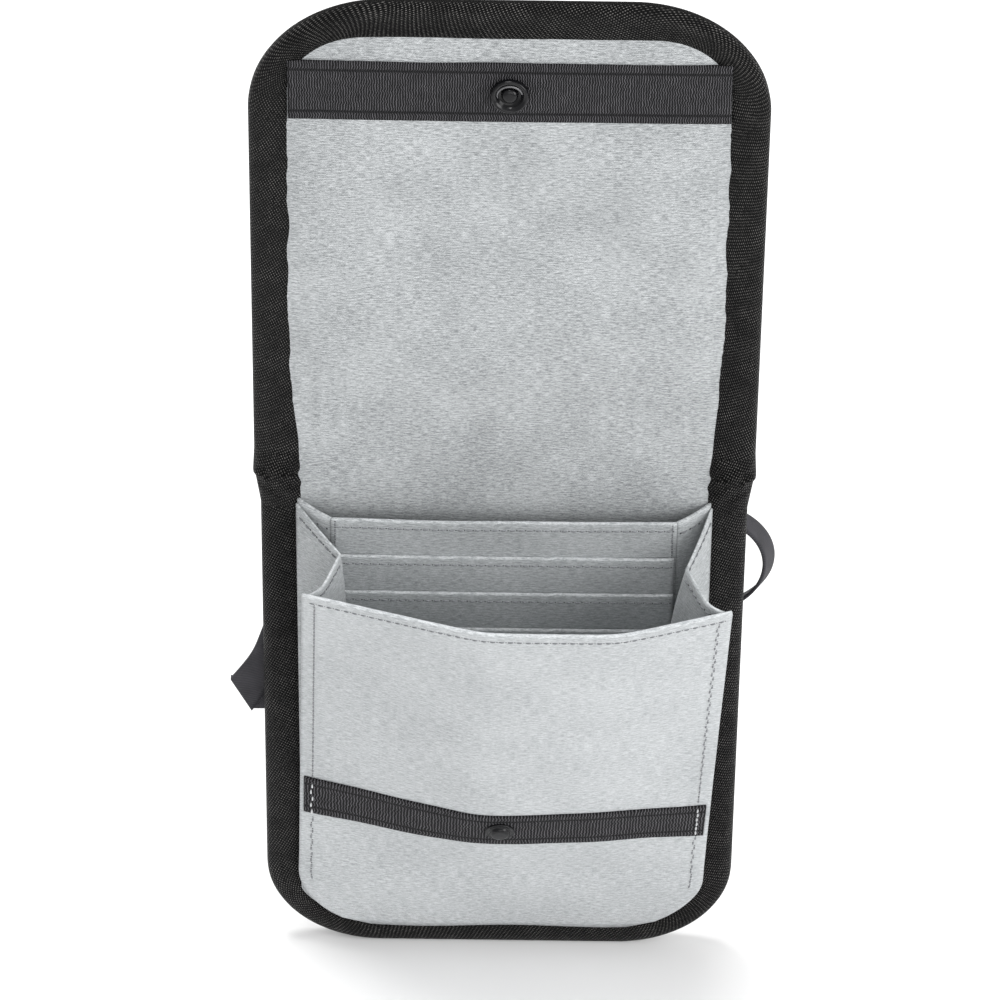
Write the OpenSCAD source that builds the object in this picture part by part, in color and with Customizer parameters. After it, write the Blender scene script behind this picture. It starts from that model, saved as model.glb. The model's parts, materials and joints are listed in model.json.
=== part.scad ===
// Neck pouch wallet, standing upright with its flap open and its front pocket spread.
// Millimetres. +X is to the right as seen from the front, -Y is the front and +Z is up.
// The origin is on the bottom edge, in the middle of the back panel's width and thickness.

/* [Outline] */
// Width of the body across its binding
body_w = 126.5; // [120:0.5:128]
// Width of the folding spine across its binding
spine_w = 128; // [122:0.5:130]
// Width of the flap across its binding
flap_w = 129.5; // [124:0.5:132]
// Height from the bottom edge to the tip of the open flap
open_h = 342; // [338:1:346]
// Radius of the outline's round corners
corner_r = 35; // [30:1:38]
// Radius of the round corners on the inner edge of the binding
opening_r = 16.5; // [15:0.5:22]
// Height of the middle of the spine
fold_mid_z = 188.5; // [187:0.5:190]

/* [Layers] */
// Thickness of the back and flap panels inside the binding
panel_t = 4; // [3.6:0.1:4.2]
// Thickness of the outer fabric and of the lining
fabric_t = 0.8; // [0.6:0.1:1]
// Thickness of the pocket fabric
sheet_t = 0.5; // [0.4:0.1:0.5]
// Visible width of the binding
binding_w = 11; // [9:0.5:12]
// Thickness of the binding over both sides of the panel
binding_t = 6; // [5.6:0.1:6]

/* [Front pocket] */
// Length of the front panel from its bottom seam to its hem
front_l = 156; // [150:1:156]
// Width of the front panel at its hem
front_top_w = 111; // [108:0.5:112]
// Width of the front panel above its round bottom corners
front_low_w = 102.6; // [100:0.1:103]
// Thickness of the front panel
front_t = 1.2; // [1:0.1:1.2]
// Lean of the front panel with the pocket spread, in degrees
open_slope = 11.5; // [10:0.1:12]
// Lean of the front panel with the flap snapped shut, in degrees
shut_slope = 3.6; // [3.5:0.1:4]
// Width of each half of a gusset at its top
gusset_w = 17.6; // [17:0.1:18]

/* [Card organizer] */
// Width of the organizer panel between its creases
organizer_w = 92; // [91:0.5:92]
// Height of the organizer's hem above the bottom edge
organizer_top_z = 170; // [168:0.5:170]
// Height of the seam that closes the passport compartment
organizer_seam_z = 40; // [39:0.5:42]
// Lean of the organizer with the pocket spread, in degrees
organizer_slope = 2.2; // [2:0.1:2.4]
// Depth of a card slot
slot_h = 44; // [42:1:45]
// Drop from one slot's edge to the next
slot_step = 12.5; // [12:0.5:13]
// Clear width inside a card slot, for a card 85.6 wide
slot_clear_w = 86.4; // [86:0.1:86.6]
// Clear thickness inside a card slot, for a card 0.76 thick
slot_clear_t = 0.85; // [0.8:0.05:0.85]

/* [Tapes and snap] */
// Width of the reinforcing tape across the flap
tape_w = 19; // [17:0.5:20]
// Width of the reinforcing tape across the front panel
front_tape_w = 15; // [13:0.5:16]
// Thickness of the reinforcing tapes
tape_t = 0.9; // [0.7:0.1:0.9]
// Height of the socket's centre above the bottom edge, flap open
snap_z = 315.5; // [314.5:0.5:316.5]
// Outer diameter of the socket
socket_d = 9.4; // [9:0.1:10]
// Height of the socket above its tape
socket_h = 2.6; // [2.4:0.1:2.6]
// Diameter of the socket's mouth
mouth_d = 5.9; // [5.8:0.1:6]
// Diameter of the stud's flange
flange_d = 8; // [7.6:0.1:8.4]
// Diameter of the stud's nub
nub_d = 5.3; // [5.2:0.1:5.4]

/* [Neck strap] */
// Width of the webbing
web_w = 10; // [9:0.5:10]
// Thickness of the webbing
web_t = 0.9; // [0.8:0.1:0.9]
// Half length of a folded pass behind the back panel
pass_half = 46; // [40:1:48]
// Passes in the upper and in the lower bundle
passes = 5; // [3:2:5]
// Distance from one pass to the next
pass_pitch = 1.3; // [1.3:0.1:1.4]

/* [Hidden] */

$fn = 64;

// Clearance left between pieces that lie on each other
gap = 0.05;
// Half of the gap left on each fold line
fold_gap = 0.5;
// Both fold lines run along the front of the binding
hinge_y = -binding_t / 2 - 0.1;
// Inner margin between the panel's edge and the outside of the binding
turn_in = 1.5;

// Bottom seam of the front panel, which is also its fold line
front_seam_z = binding_w + 0.5;
tape_front_y = -panel_t / 2 - gap - tape_t;

// With the flap shut, the two snap parts face each other across the tapes.
// The spine is just long enough to leave room for them.
flange_t = 0.7;
snap_play = 0.3;
stack = front_t / 2 + gap + tape_t + flange_t + snap_play + socket_h - (tape_front_y - hinge_y);
function spine_for(mid_z) =
    (stack + (mid_z - front_seam_z) * sin(shut_slope)) / (cos(shut_slope) + sin(shut_slope) / 2);
spine_l = spine_for(fold_mid_z);
lower_fold_z = fold_mid_z - spine_l / 2;
upper_fold_z = fold_mid_z + spine_l / 2;

// Distance of the stud up the front panel that meets the socket with the flap shut
snap_reach = snap_z - upper_fold_z;
stud_l = (lower_fold_z - front_seam_z) * cos(shut_slope) + spine_l * sin(shut_slope) - snap_reach;

spring_d = mouth_d + 0.9;
socket_floor_t = 0.5;
cap_d = 10;
cap_t = 0.7;
post_d = 2.2;
// Bevel that softens the rims of the turned snap parts
rim_bevel = 0.4;
wire_d = 0.7;

gusset_seam_x = 53;
gusset_seam_y = hinge_y - sheet_t / 2;
gusset_low_z = 40;
gusset_top_z = 168.5;
gusset_rear_angle = 28.9;
gusset_front_angle = 37.6;
// Left open between the two halves on their shared fold line
gusset_fold_gap = 2;
// Width of a half where it starts, at its low end
gusset_low_w = 0.6;
// Drop from the front panel's hem to the gusset's top
gusset_drop = 2;

wing_seam_x = 51.7;
wing_y = -panel_t / 2 - 0.5;
wing_w = 5.3;
wing_angle = 47;
// Rise of a wing's low end above the organizer's seam
wing_rise = 2;

organizer_y = -panel_t / 2 - 0.5;
organizer_l = (organizer_top_z - organizer_seam_z) / cos(organizer_slope);
slot_w = slot_clear_w + 2.6;
slot_pitch = slot_clear_t + sheet_t;

// Inner face of the first pass of webbing, clear of the binding's back
strap_y = binding_t / 2 + 1.4;
level_low_z = 90.5;
level_mid_z = 107.7;
level_high_z = 125;
outer_pass_y = strap_y + (passes - 1) * pass_pitch;
anchor_x = 42;
anchor_z = 160;
loop_x = 52.6;
loop_z = 141.5;
loop_r = 17.4;
// The folded corner stands out beside the left edge: its tip and its low end
corner_tip_x = 72.5;
corner_low_x = 67;
corner_fold_w = 1.4;
corner_tip_rise = 2;
anchor_below = 6;
anchor_above = 14;

lap_h = 11;
lap_t = 0.9;
lap_in = 0.6;

bar_t = 1.6;
bar_l = 2;
slider_l = 13;
slider_wall = 1.6;
slider_play = 0.1;
slider_y = outer_pass_y + web_t + slider_play;
under_y = outer_pass_y - slider_play - bar_t;

// ---------------------------------------------------------------- helpers

// Lifts a flat outline, drawn as (x, height), into a sheet between y0 and y1.
module sheet(y0, y1) {
    translate([0, y1, 0])
        rotate([90, 0, 0])
            linear_extrude(height = y1 - y0)
                children();
}

// A tongue from height 0 up to a round end.
module tongue(w, l, r) {
    translate([-w / 2, 0]) square([w, l - r]);
    translate([r - w / 2, 0]) square([w - 2 * r, l]);
    for (side = [-1, 1])
        translate([side * (w / 2 - r), l - r]) circle(r = r);
}

// Outline of the body, drawn in from the outer edge by inset.
module body_outline(inset, top = 0) {
    body_tongue(inset, top, corner_r - inset);
}

// Opening inside the body's binding.
module body_opening() {
    body_tongue(binding_w, 1, opening_r);
}

module body_tongue(inset, top, r) {
    translate([0, lower_fold_z - fold_gap + top])
        mirror([0, 1])
            tongue(body_w - 2 * inset, lower_fold_z - fold_gap + top - inset, r);
}

// Outline of the flap, drawn in from the outer edge by inset.
module flap_outline(inset, bottom = 0) {
    flap_tongue(inset, bottom, corner_r - inset);
}

// Opening inside the flap's binding, drawn in further by margin.
module flap_opening(margin = 0) {
    flap_tongue(binding_w + margin, 1, opening_r - margin);
}

module flap_tongue(inset, bottom, r) {
    start = upper_fold_z + fold_gap - bottom;
    translate([0, start])
        tongue(flap_w - 2 * inset, open_h - inset - start, r);
}

// Outline of the short spine between the two fold lines.
module spine_outline(inset) {
    translate([inset - spine_w / 2, lower_fold_z + fold_gap])
        square([spine_w - 2 * inset, spine_l - 2 * fold_gap]);
}

module panel_shell() {
    sheet(panel_t / 2 - fabric_t, panel_t / 2) children();
}

module panel_core() {
    sheet(fabric_t + gap - panel_t / 2, panel_t / 2 - fabric_t - gap) children();
}

module panel_lining() {
    sheet(-panel_t / 2, fabric_t - panel_t / 2) children();
}

// Channel in the binding that holds the panel's edge.
module panel_channel() {
    sheet(-panel_t / 2 - gap, panel_t / 2 + gap) children();
}

module at_front_panel() {
    translate([0, hinge_y, front_seam_z])
        rotate([open_slope, 0, 0])
            children();
}

module at_organizer() {
    translate([0, organizer_y, organizer_seam_z])
        rotate([organizer_slope, 0, 0])
            children();
}

// Puts a turned snap part on a face, with its axis along -Y.
module turned_at(y, z) {
    translate([0, y, z])
        rotate([90, 0, 0])
            children();
}

// ---------------------------------------------------------------- back panel and its binding

module back_shell() {
    color("lightgray") panel_shell() body_outline(turn_in);
}

module back_core() {
    color("white") panel_core() body_outline(turn_in);
}

module back_lining() {
    color("lightgray") panel_lining() body_outline(turn_in);
}

module body_binding() {
    color("black")
        difference() {
            sheet(-binding_t / 2, binding_t / 2)
                difference() {
                    body_outline(0);
                    body_opening();
                }
            panel_channel() body_outline(turn_in - gap, top = 1);
        }
}

// The ends of the flap's binding, folded over the body's binding and sewn down.
module binding_laps() {
    inner_x = body_w / 2 - binding_w - lap_in;
    outer_x = body_w / 2 + gap;
    half_t = binding_t / 2 + gap;
    color("black")
        for (side = [0, 1])
            mirror([side, 0, 0])
                translate([0, 0, lower_fold_z - fold_gap - lap_h])
                    difference() {
                        translate([inner_x, -half_t - lap_t, 0])
                            cube([outer_x - inner_x + lap_t, 2 * (half_t + lap_t), lap_h]);
                        translate([inner_x - 1, -half_t, -1])
                            cube([outer_x - inner_x + 1, 2 * half_t, lap_h + 2]);
                    }
}

// ---------------------------------------------------------------- spine and flap

module spine_shell() {
    color("lightgray") panel_shell() spine_outline(turn_in);
}

module spine_lining() {
    color("lightgray") panel_lining() spine_outline(turn_in);
}

module spine_binding() {
    color("black")
        difference() {
            sheet(-binding_t / 2, binding_t / 2) spine_outline(0);
            translate([-spine_w / 2 + binding_w, -binding_t, 0])
                cube([spine_w - 2 * binding_w, 2 * binding_t, open_h]);
            translate([-spine_w / 2 + turn_in - gap, -panel_t / 2 - gap, 0])
                cube([spine_w - 2 * (turn_in - gap), panel_t + 2 * gap, open_h]);
        }
}

module flap_shell() {
    color("lightgray") panel_shell() flap_outline(turn_in);
}

// The foam has a recess that holds the socket's cap.
module flap_core() {
    color("white")
        difference() {
            panel_core() flap_outline(turn_in);
            turned_at(panel_t / 2, snap_z)
                cylinder(d = cap_d + 1, h = panel_t);
        }
}

// The lining is pierced for the post of the cap.
module flap_lining() {
    color("lightgray")
        difference() {
            panel_lining() flap_outline(turn_in);
            turned_at(panel_t, snap_z)
                cylinder(d = post_d + 2 * gap, h = 2 * panel_t);
        }
}

module flap_binding() {
    color("black")
        difference() {
            sheet(-binding_t / 2, binding_t / 2)
                difference() {
                    flap_outline(0);
                    flap_opening();
                }
            panel_channel() flap_outline(turn_in - gap, bottom = 1);
        }
}

// Webbing tape that carries the socket, sewn across the inside of the flap.
module flap_tape() {
    half = flap_w / 2 - binding_w - gap;
    color("dimgray")
        difference() {
            sheet(tape_front_y, -panel_t / 2 - gap)
                intersection() {
                    translate([-half, snap_z - tape_w / 2])
                        square([2 * half, tape_w]);
                    flap_opening(margin = gap);
                }
            turned_at(0, snap_z)
                cylinder(d = post_d + 2 * gap, h = 2 * panel_t);
        }
}

// ---------------------------------------------------------------- snap fastener

// A cup with a rolled rim. Its mouth faces -Y.
module snap_socket() {
    lip_t = 0.7;
    bore_r = spring_d / 2 + 0.35;
    color("black")
        turned_at(tape_front_y - gap, snap_z)
            rotate_extrude()
                polygon([
                    [post_d / 2 + gap, 0],
                    [socket_d / 2, 0],
                    [socket_d / 2, socket_h - rim_bevel],
                    [socket_d / 2 - rim_bevel, socket_h],
                    [mouth_d / 2 + rim_bevel, socket_h],
                    [mouth_d / 2, socket_h - rim_bevel],
                    [mouth_d / 2, socket_h - lip_t],
                    [bore_r, socket_h - lip_t],
                    [bore_r, socket_floor_t],
                    [post_d / 2 + gap, socket_floor_t]
                ]);
}

// Split wire ring that grips the stud inside the socket.
module snap_spring() {
    split = 30;
    grip = 0.1;
    depth = 1.15;
    color("silver")
        turned_at(tape_front_y - gap - socket_h + depth, snap_z)
            rotate([0, 0, split / 2])
                rotate_extrude(angle = 360 - split)
                    translate([mouth_d / 2 + wire_d / 2 - grip, 0])
                        circle(d = wire_d);
}

// Cap under the lining. Its post comes through the tape and is spread into a low dome in the socket.
module snap_cap() {
    post_end = panel_t / 2 - fabric_t - gap;
    floor_z = 2 * gap + socket_floor_t - tape_front_y;
    dome_d = 4.4;
    dome_t = 0.75;
    color("black")
        turned_at(0, snap_z)
            rotate_extrude()
                polygon([
                    [0, post_end - cap_t],
                    [cap_d / 2, post_end - cap_t],
                    [cap_d / 2, post_end],
                    [post_d / 2, post_end],
                    [post_d / 2, floor_z],
                    [dome_d / 2, floor_z],
                    [dome_d / 2 - 0.1, floor_z + dome_t / 2],
                    [dome_d / 4, floor_z + dome_t - 0.1],
                    [0, floor_z + dome_t]
                ]);
}

// ---------------------------------------------------------------- card organizer

module organizer_panel() {
    color("gainsboro")
        at_organizer()
            sheet(-sheet_t / 2, sheet_t / 2)
                translate([-organizer_w / 2, gap])
                    square([organizer_w, organizer_l - gap]);
}

// A shallow tray, closed at its sides and bottom, open at its top and towards the organizer.
module card_slot(order) {
    top = organizer_l - order * slot_step;
    back_y = -sheet_t / 2 - gap - (order - 1) * (slot_pitch + gap);
    side = (slot_w - slot_clear_w) / 2;
    color("gainsboro")
        at_organizer()
            translate([-slot_w / 2, back_y - slot_pitch, top - slot_h])
                difference() {
                    cube([slot_w, slot_pitch, slot_h]);
                    translate([side, sheet_t, side])
                        cube([slot_clear_w, slot_pitch, slot_h]);
                }
}

module card_slot_upper() {
    card_slot(1);
}

module card_slot_middle() {
    card_slot(2);
}

module card_slot_lower() {
    card_slot(3);
}

// Strip from the side seam to the organizer's crease, for the left side.
module wing() {
    color("gainsboro")
        translate([-wing_seam_x, wing_y, 0])
            rotate([0, 0, wing_angle - 90])
                sheet(-sheet_t / 2, sheet_t / 2)
                    translate([0, organizer_seam_z + wing_rise])
                        square([wing_w, organizer_top_z - organizer_seam_z - wing_rise]);
}

module wing_left() {
    wing();
}

module wing_right() {
    mirror([1, 0, 0]) wing();
}

// ---------------------------------------------------------------- gussets

// Half of a gusset, as a flat wedge that widens upwards from its seam line.
module gusset_wedge(l) {
    top_w = gusset_w - gusset_fold_gap;
    polygon([[0, 0], [gusset_low_w, 0], [top_w, l - 1], [top_w, l], [0, l]]);
}

// Rear half, sewn to the body's binding, for the left side.
module gusset_rear() {
    color("lightgray")
        translate([-gusset_seam_x, gusset_seam_y, gusset_low_z])
            rotate([0, 0, gusset_rear_angle - 90])
                sheet(-sheet_t / 2, sheet_t / 2)
                    gusset_wedge(gusset_top_z - gusset_low_z);
}

// Front half, sewn to the side of the front panel, for the left side.
module gusset_front() {
    side_l = front_l - corner_r + binding_w;
    side_lean = atan((front_top_w - front_low_w) / 2 / side_l);
    low_l = gusset_low_z - front_seam_z;
    inset = 0.5;
    low_x = front_low_w / 2 + (low_l - corner_r + binding_w) * tan(side_lean) - inset;
    color("lightgray")
        at_front_panel()
            translate([-low_x, front_t / 2 + sheet_t / 2 + gap, low_l])
                rotate([0, -side_lean, 0])
                    rotate([0, 0, 90 - gusset_front_angle])
                        sheet(-sheet_t / 2, sheet_t / 2)
                            gusset_wedge(front_l - low_l - gusset_drop);
}

module gusset_left_rear() {
    gusset_rear();
}

module gusset_right_rear() {
    mirror([1, 0, 0]) gusset_rear();
}

module gusset_left_front() {
    gusset_front();
}

module gusset_right_front() {
    mirror([1, 0, 0]) gusset_front();
}

// ---------------------------------------------------------------- front panel

// Wider at the hem than at the round bottom corners.
module front_outline() {
    r = corner_r - binding_w;
    steps = 12;
    corner = [for (i = [0:steps]) let (a = 90 * i / steps)
        [front_low_w / 2 - r + r * sin(a), r - r * cos(a)]];
    right = concat(corner, [[front_top_w / 2, front_l]]);
    left = [for (i = [len(right) - 1:-1:0]) [-right[i][0], right[i][1]]];
    translate([0, gap]) polygon(concat(right, left));
}

// The pocket's front, sewn to the body along its round bottom edge.
module front_panel() {
    color("gainsboro")
        at_front_panel()
            difference() {
                sheet(-front_t / 2, front_t / 2) front_outline();
                turned_at(front_t, stud_l)
                    cylinder(d = post_d + 2 * gap, h = 2 * front_t);
            }
}

// Webbing tape that carries the stud, sewn across the outside of the pocket.
module front_tape() {
    overhang = 0.5;
    half = front_low_w / 2 + overhang;
    color("dimgray")
        at_front_panel()
            difference() {
                sheet(-front_t / 2 - gap - tape_t, -front_t / 2 - gap)
                    translate([-half, stud_l - front_tape_w / 2])
                        square([2 * half, front_tape_w]);
                turned_at(front_t, stud_l)
                    cylinder(d = post_d + 2 * gap, h = 4 * front_t);
            }
}

// Flange and hollow nub. The nub enters the socket with the flap shut.
module snap_stud() {
    nub_h = 1.4;
    nub_bevel = 0.3;
    hollow_r = nub_d / 2 - 0.9;
    color("black")
        at_front_panel()
            turned_at(-front_t / 2 - tape_t - 2 * gap, stud_l)
                rotate_extrude()
                    polygon([
                        [post_d / 2 + gap, 0],
                        [flange_d / 2, 0],
                        [flange_d / 2, flange_t - nub_bevel],
                        [flange_d / 2 - nub_bevel, flange_t],
                        [nub_d / 2 - nub_bevel, flange_t],
                        [nub_d / 2, flange_t + nub_bevel],
                        [nub_d / 2, flange_t + nub_h - nub_bevel],
                        [nub_d / 2 - nub_bevel, flange_t + nub_h],
                        [hollow_r + nub_bevel, flange_t + nub_h],
                        [hollow_r, flange_t],
                        [post_d / 2 + gap, flange_t]
                    ]);
}

// Cap inside the pocket. Its post is spread in the stud's hollow.
module snap_stud_back() {
    back_d = 9;
    back_bevel = 0.3;
    post_l = front_t + tape_t + 2 * gap + flange_t;
    dome_r = 1.6;
    dome_t = 0.5;
    color("black")
        at_front_panel()
            turned_at(front_t / 2 + gap, stud_l)
                rotate_extrude()
                    polygon([
                        [0, -cap_t],
                        [back_d / 2 - back_bevel, -cap_t],
                        [back_d / 2, back_bevel - cap_t],
                        [back_d / 2, 0],
                        [post_d / 2, 0],
                        [post_d / 2, post_l + 2 * gap],
                        [dome_r, post_l + 2 * gap],
                        [dome_r - 2 * gap, post_l + dome_t - 2 * gap],
                        [0, post_l + dome_t]
                    ]);
}

// ---------------------------------------------------------------- neck strap

// Short webbing tab sewn to the back shell, for the left side.
module strap_anchor() {
    color("dimgray")
        translate([-anchor_x - web_w / 2, panel_t / 2 + gap, anchor_z - anchor_below])
            cube([web_w, web_t, anchor_below + anchor_above]);
}

module strap_anchor_left() {
    strap_anchor();
}

module strap_anchor_right() {
    mirror([1, 0, 0]) strap_anchor();
}

// A bend that joins two passes, seen from above. It opens towards -X.
module pass_bend() {
    outer_r = (pass_pitch + web_t) / 2;
    intersection() {
        difference() {
            circle(r = outer_r);
            circle(r = outer_r - web_t);
        }
        translate([-gap, -outer_r]) square(2 * outer_r);
    }
}

// Webbing folded to and fro, at a height z.
module folded_bundle(z) {
    translate([0, strap_y, z - web_w / 2])
        linear_extrude(height = web_w) {
            for (i = [0:passes - 1])
                translate([-pass_half, i * pass_pitch])
                    square([2 * pass_half, web_t]);
            for (i = [0:passes - 2])
                translate([(i % 2 == 0 ? 1 : -1) * pass_half, (i + 0.5) * pass_pitch + web_t / 2])
                    rotate(i % 2 == 0 ? 0 : 180)
                        pass_bend();
        }
}

// Flat run on a diagonal from the left anchor to a folded corner, and back under the panel.
module left_corner() {
    low = level_low_z - web_w / 2;
    high = level_low_z + web_w / 2;
    tip = [-corner_tip_x, high + corner_tip_rise];
    heel = [-corner_low_x, low];
    run_dx = 4;
    sheet(strap_y - web_t - gap, strap_y - gap)
        polygon([
            [-anchor_x - run_dx, anchor_z - 2],
            [-anchor_x + run_dx + 1.4, anchor_z - 5.5],
            heel + [run_dx, web_w],
            heel,
            tip
        ]);
    sheet(strap_y, strap_y + web_t)
        polygon([tip, heel, [-pass_half, low], [-pass_half, high], tip + [3, -corner_tip_rise]]);
    sheet(strap_y - web_t, strap_y + web_t)
        polygon([tip, heel, heel + [corner_fold_w, corner_fold_w], tip + [2, corner_fold_w - 1.9]]);
}

// Open loop that stands out beside the right edge, with the webbing on edge.
module right_loop() {
    loop_y = strap_y - 1;
    tail_l = loop_x - anchor_x + 4;
    sheet(loop_y, loop_y + web_w)
        translate([loop_x, loop_z])
            union() {
                intersection() {
                    difference() {
                        circle(r = loop_r + web_t / 2);
                        circle(r = loop_r - web_t / 2);
                    }
                    translate([0, -2 * loop_r]) square(4 * loop_r);
                }
                translate([-tail_l, loop_r - web_t / 2]) square([tail_l + gap, web_t]);
            }
}

// Vertical webbing that joins two levels, folded at 45 degrees at each end.
module riser(x, z0, z1) {
    translate([x - web_w / 2, outer_pass_y, z0 - web_w / 2])
        cube([web_w, web_t, z1 - z0 + web_w]);
}

module neck_strap() {
    color("darkslategray")
        union() {
            left_corner();
            folded_bundle(level_low_z);
            riser(pass_half, level_low_z, level_mid_z);
            translate([-pass_half, outer_pass_y, level_mid_z - web_w / 2])
                cube([2 * pass_half, web_t, web_w]);
            riser(-pass_half, level_mid_z, level_high_z);
            folded_bundle(level_high_z);
            translate([pass_half - gap, strap_y, level_high_z - web_w / 2])
                cube([loop_x - pass_half + 4, web_t, web_w]);
            right_loop();
        }
}

// A bar of the slider, across the webbing.
module slider_bar(x, y, inner_w) {
    translate([x - bar_l / 2, y, level_mid_z - inner_w / 2 - gap])
        cube([bar_l, bar_t, inner_w + 2 * gap]);
}

// Three-bar slider. The webbing runs straight between the outer bars and the centre bar.
module strap_slider() {
    inner_w = web_w + 0.8;
    wall_z = (inner_w + slider_wall) / 2;
    color("black")
        union() {
            for (side = [-1, 1])
                translate([-slider_l / 2, under_y, level_mid_z + side * wall_z - slider_wall / 2])
                    cube([slider_l, slider_y + bar_t - under_y, slider_wall]);
            for (side = [-1, 1])
                slider_bar(side * (slider_l - bar_l) / 2, slider_y, inner_w);
            slider_bar(0, under_y, inner_w);
        }
}

// End of the webbing, sewn round the centre bar.
module strap_end_loop() {
    reach = 16;
    half_l = bar_l / 2 + slider_play;
    color("darkslategray")
        translate([0, 0, level_mid_z - web_w / 2])
            difference() {
                translate([-half_l - web_t, under_y - slider_play - web_t, 0])
                    cube([reach, web_t + slider_play + bar_t, web_w]);
                translate([-half_l, under_y - slider_play, -1])
                    cube([2 * half_l, bar_t + 1, web_w + 2]);
                translate([half_l + web_t, under_y - slider_play, -1])
                    cube([reach, bar_t + 1, web_w + 2]);
            }
}

back_shell();
back_core();
back_lining();
body_binding();
binding_laps();
strap_anchor_left();
strap_anchor_right();
spine_shell();
spine_lining();
spine_binding();
flap_shell();
flap_core();
flap_lining();
flap_binding();
flap_tape();
snap_socket();
snap_spring();
snap_cap();
organizer_panel();
card_slot_upper();
card_slot_middle();
card_slot_lower();
wing_left();
wing_right();
gusset_left_rear();
gusset_right_rear();
gusset_left_front();
gusset_right_front();
front_panel();
front_tape();
snap_stud();
snap_stud_back();
neck_strap();
strap_slider();
strap_end_loop();
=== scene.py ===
"""Looks of the neck pouch wallet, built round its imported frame.

Lengths here are millimetres until a mesh is made.
"""

import json
import math

import bpy
import numpy as np
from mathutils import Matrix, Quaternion, Vector


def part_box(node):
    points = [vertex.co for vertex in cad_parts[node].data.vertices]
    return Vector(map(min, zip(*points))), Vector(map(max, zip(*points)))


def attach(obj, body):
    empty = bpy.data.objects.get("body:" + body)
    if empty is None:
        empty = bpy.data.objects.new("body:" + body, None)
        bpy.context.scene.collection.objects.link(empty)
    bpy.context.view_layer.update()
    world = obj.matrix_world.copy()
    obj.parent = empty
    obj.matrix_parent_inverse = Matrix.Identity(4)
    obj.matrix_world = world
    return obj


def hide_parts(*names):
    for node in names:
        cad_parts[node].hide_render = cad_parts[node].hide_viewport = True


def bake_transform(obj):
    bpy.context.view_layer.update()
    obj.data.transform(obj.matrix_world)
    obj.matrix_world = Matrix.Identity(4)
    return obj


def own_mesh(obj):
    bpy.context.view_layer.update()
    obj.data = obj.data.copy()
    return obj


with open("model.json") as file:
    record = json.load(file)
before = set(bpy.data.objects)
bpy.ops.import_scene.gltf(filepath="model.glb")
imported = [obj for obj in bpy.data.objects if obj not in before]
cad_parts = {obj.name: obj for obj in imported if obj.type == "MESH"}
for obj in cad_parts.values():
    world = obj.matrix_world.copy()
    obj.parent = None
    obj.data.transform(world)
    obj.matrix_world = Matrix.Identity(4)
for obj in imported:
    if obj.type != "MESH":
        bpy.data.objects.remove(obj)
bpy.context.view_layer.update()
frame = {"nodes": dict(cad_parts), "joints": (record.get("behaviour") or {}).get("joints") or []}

MM = 0.001
JOINTS = {joint["name"]: joint for joint in frame["joints"]}
SIDES = (("left", -1), ("right", 1))


def node_box(name):
    """Lowest and highest corner of a CAD node, in millimetres."""
    low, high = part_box(name)
    return np.array(low) / MM, np.array(high) / MM


def hinge(name):
    """A point on a joint's axis, in millimetres."""
    return np.array(JOINTS[name]["pos_m"]) / MM


# ---------------------------------------------------------------- sizes taken from the frame

BODY_HIGH = node_box("body_binding")[1]
FLAP_HIGH = node_box("flap_binding")[1]
BODY_HALF = BODY_HIGH[0]
FLAP_HALF = FLAP_HIGH[0]
TIP_Z = FLAP_HIGH[2]
BIND_HALF_T = BODY_HIGH[1]
TAPE_LOW, TAPE_HIGH = node_box("flap_tape")
BIND_W = FLAP_HALF - TAPE_HIGH[0]
HINGE_Y = hinge("flap_fold")[1]
FOLD_LOW_Z = hinge("flap_fold")[2]
FOLD_HIGH_Z = hinge("flap_turn")[2]
FOLD_MID_Z = (FOLD_LOW_Z + FOLD_HIGH_Z) / 2
LINING_Y = node_box("back_lining")[0][1]
SHELL_Y = node_box("back_shell")[1][1]
SEAM_Z = hinge("pocket_spread")[2]
FRONT_LOW, FRONT_HIGH = node_box("front_panel")
FRONT_TOP_HALF = FRONT_HIGH[0]
OPEN_SLOPE = math.atan2(HINGE_Y - FRONT_LOW[1], FRONT_HIGH[2] - SEAM_Z)
FRONT_L = (FRONT_HIGH[2] - SEAM_Z) / math.cos(OPEN_SLOPE)
ORG_LOW, ORG_HIGH = node_box("organizer_panel")
ORG_HALF = ORG_HIGH[0] - 1.0
ORG_TOP_Z = ORG_HIGH[2]
ORG_SEAM = hinge("organizer_lean")
GUSSET_SEAM_X = abs(hinge("gusset_fold_left_rear")[0])
STUD_LOW, STUD_HIGH = node_box("snap_stud")
SOCKET_LOW, SOCKET_HIGH = node_box("snap_socket")
SNAP_Z = (SOCKET_LOW[2] + SOCKET_HIGH[2]) / 2
LAP_LOW = node_box("binding_laps")[0]
STRAP_LOW, STRAP_HIGH = node_box("neck_strap")
ANCHOR_LOW, ANCHOR_HIGH = node_box("strap_anchor_right")
ANCHOR_X = (ANCHOR_LOW[0] + ANCHOR_HIGH[0]) / 2
SLIDER_LOW, SLIDER_HIGH = node_box("strap_slider")
SLIDER_MID_Z = (SLIDER_LOW[2] + SLIDER_HIGH[2]) / 2

# ---------------------------------------------------------------- sizes of the cloth

# Corner radii of the flap, of the body, and of the opening inside both bindings
FLAP_CORNER_R = 35.0
BODY_CORNER_R = 31.0
OPENING_R = 16.5

# Height of the gathered cloth where the flap's binding meets the body's, and of its lower end
GATHER_Z = FOLD_LOW_Z
GATHER_LOW_Z = LAP_LOW[2] - 0.5

# How far the binding laps over the opening, and where a panel's cloth ends under the binding,
# as a share of the binding's width in from its outer edge
BIND_LAP = 0.15
PANEL_INSET = 0.55

# Distance over which a panel's crown fades out towards the fold
PANEL_JOIN = 40.0

# The binding's diagonal ribs: rise for each millimetre across, and spacing
RIB_STEEP = 2.4
RIB_PITCH = 1.75

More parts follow.
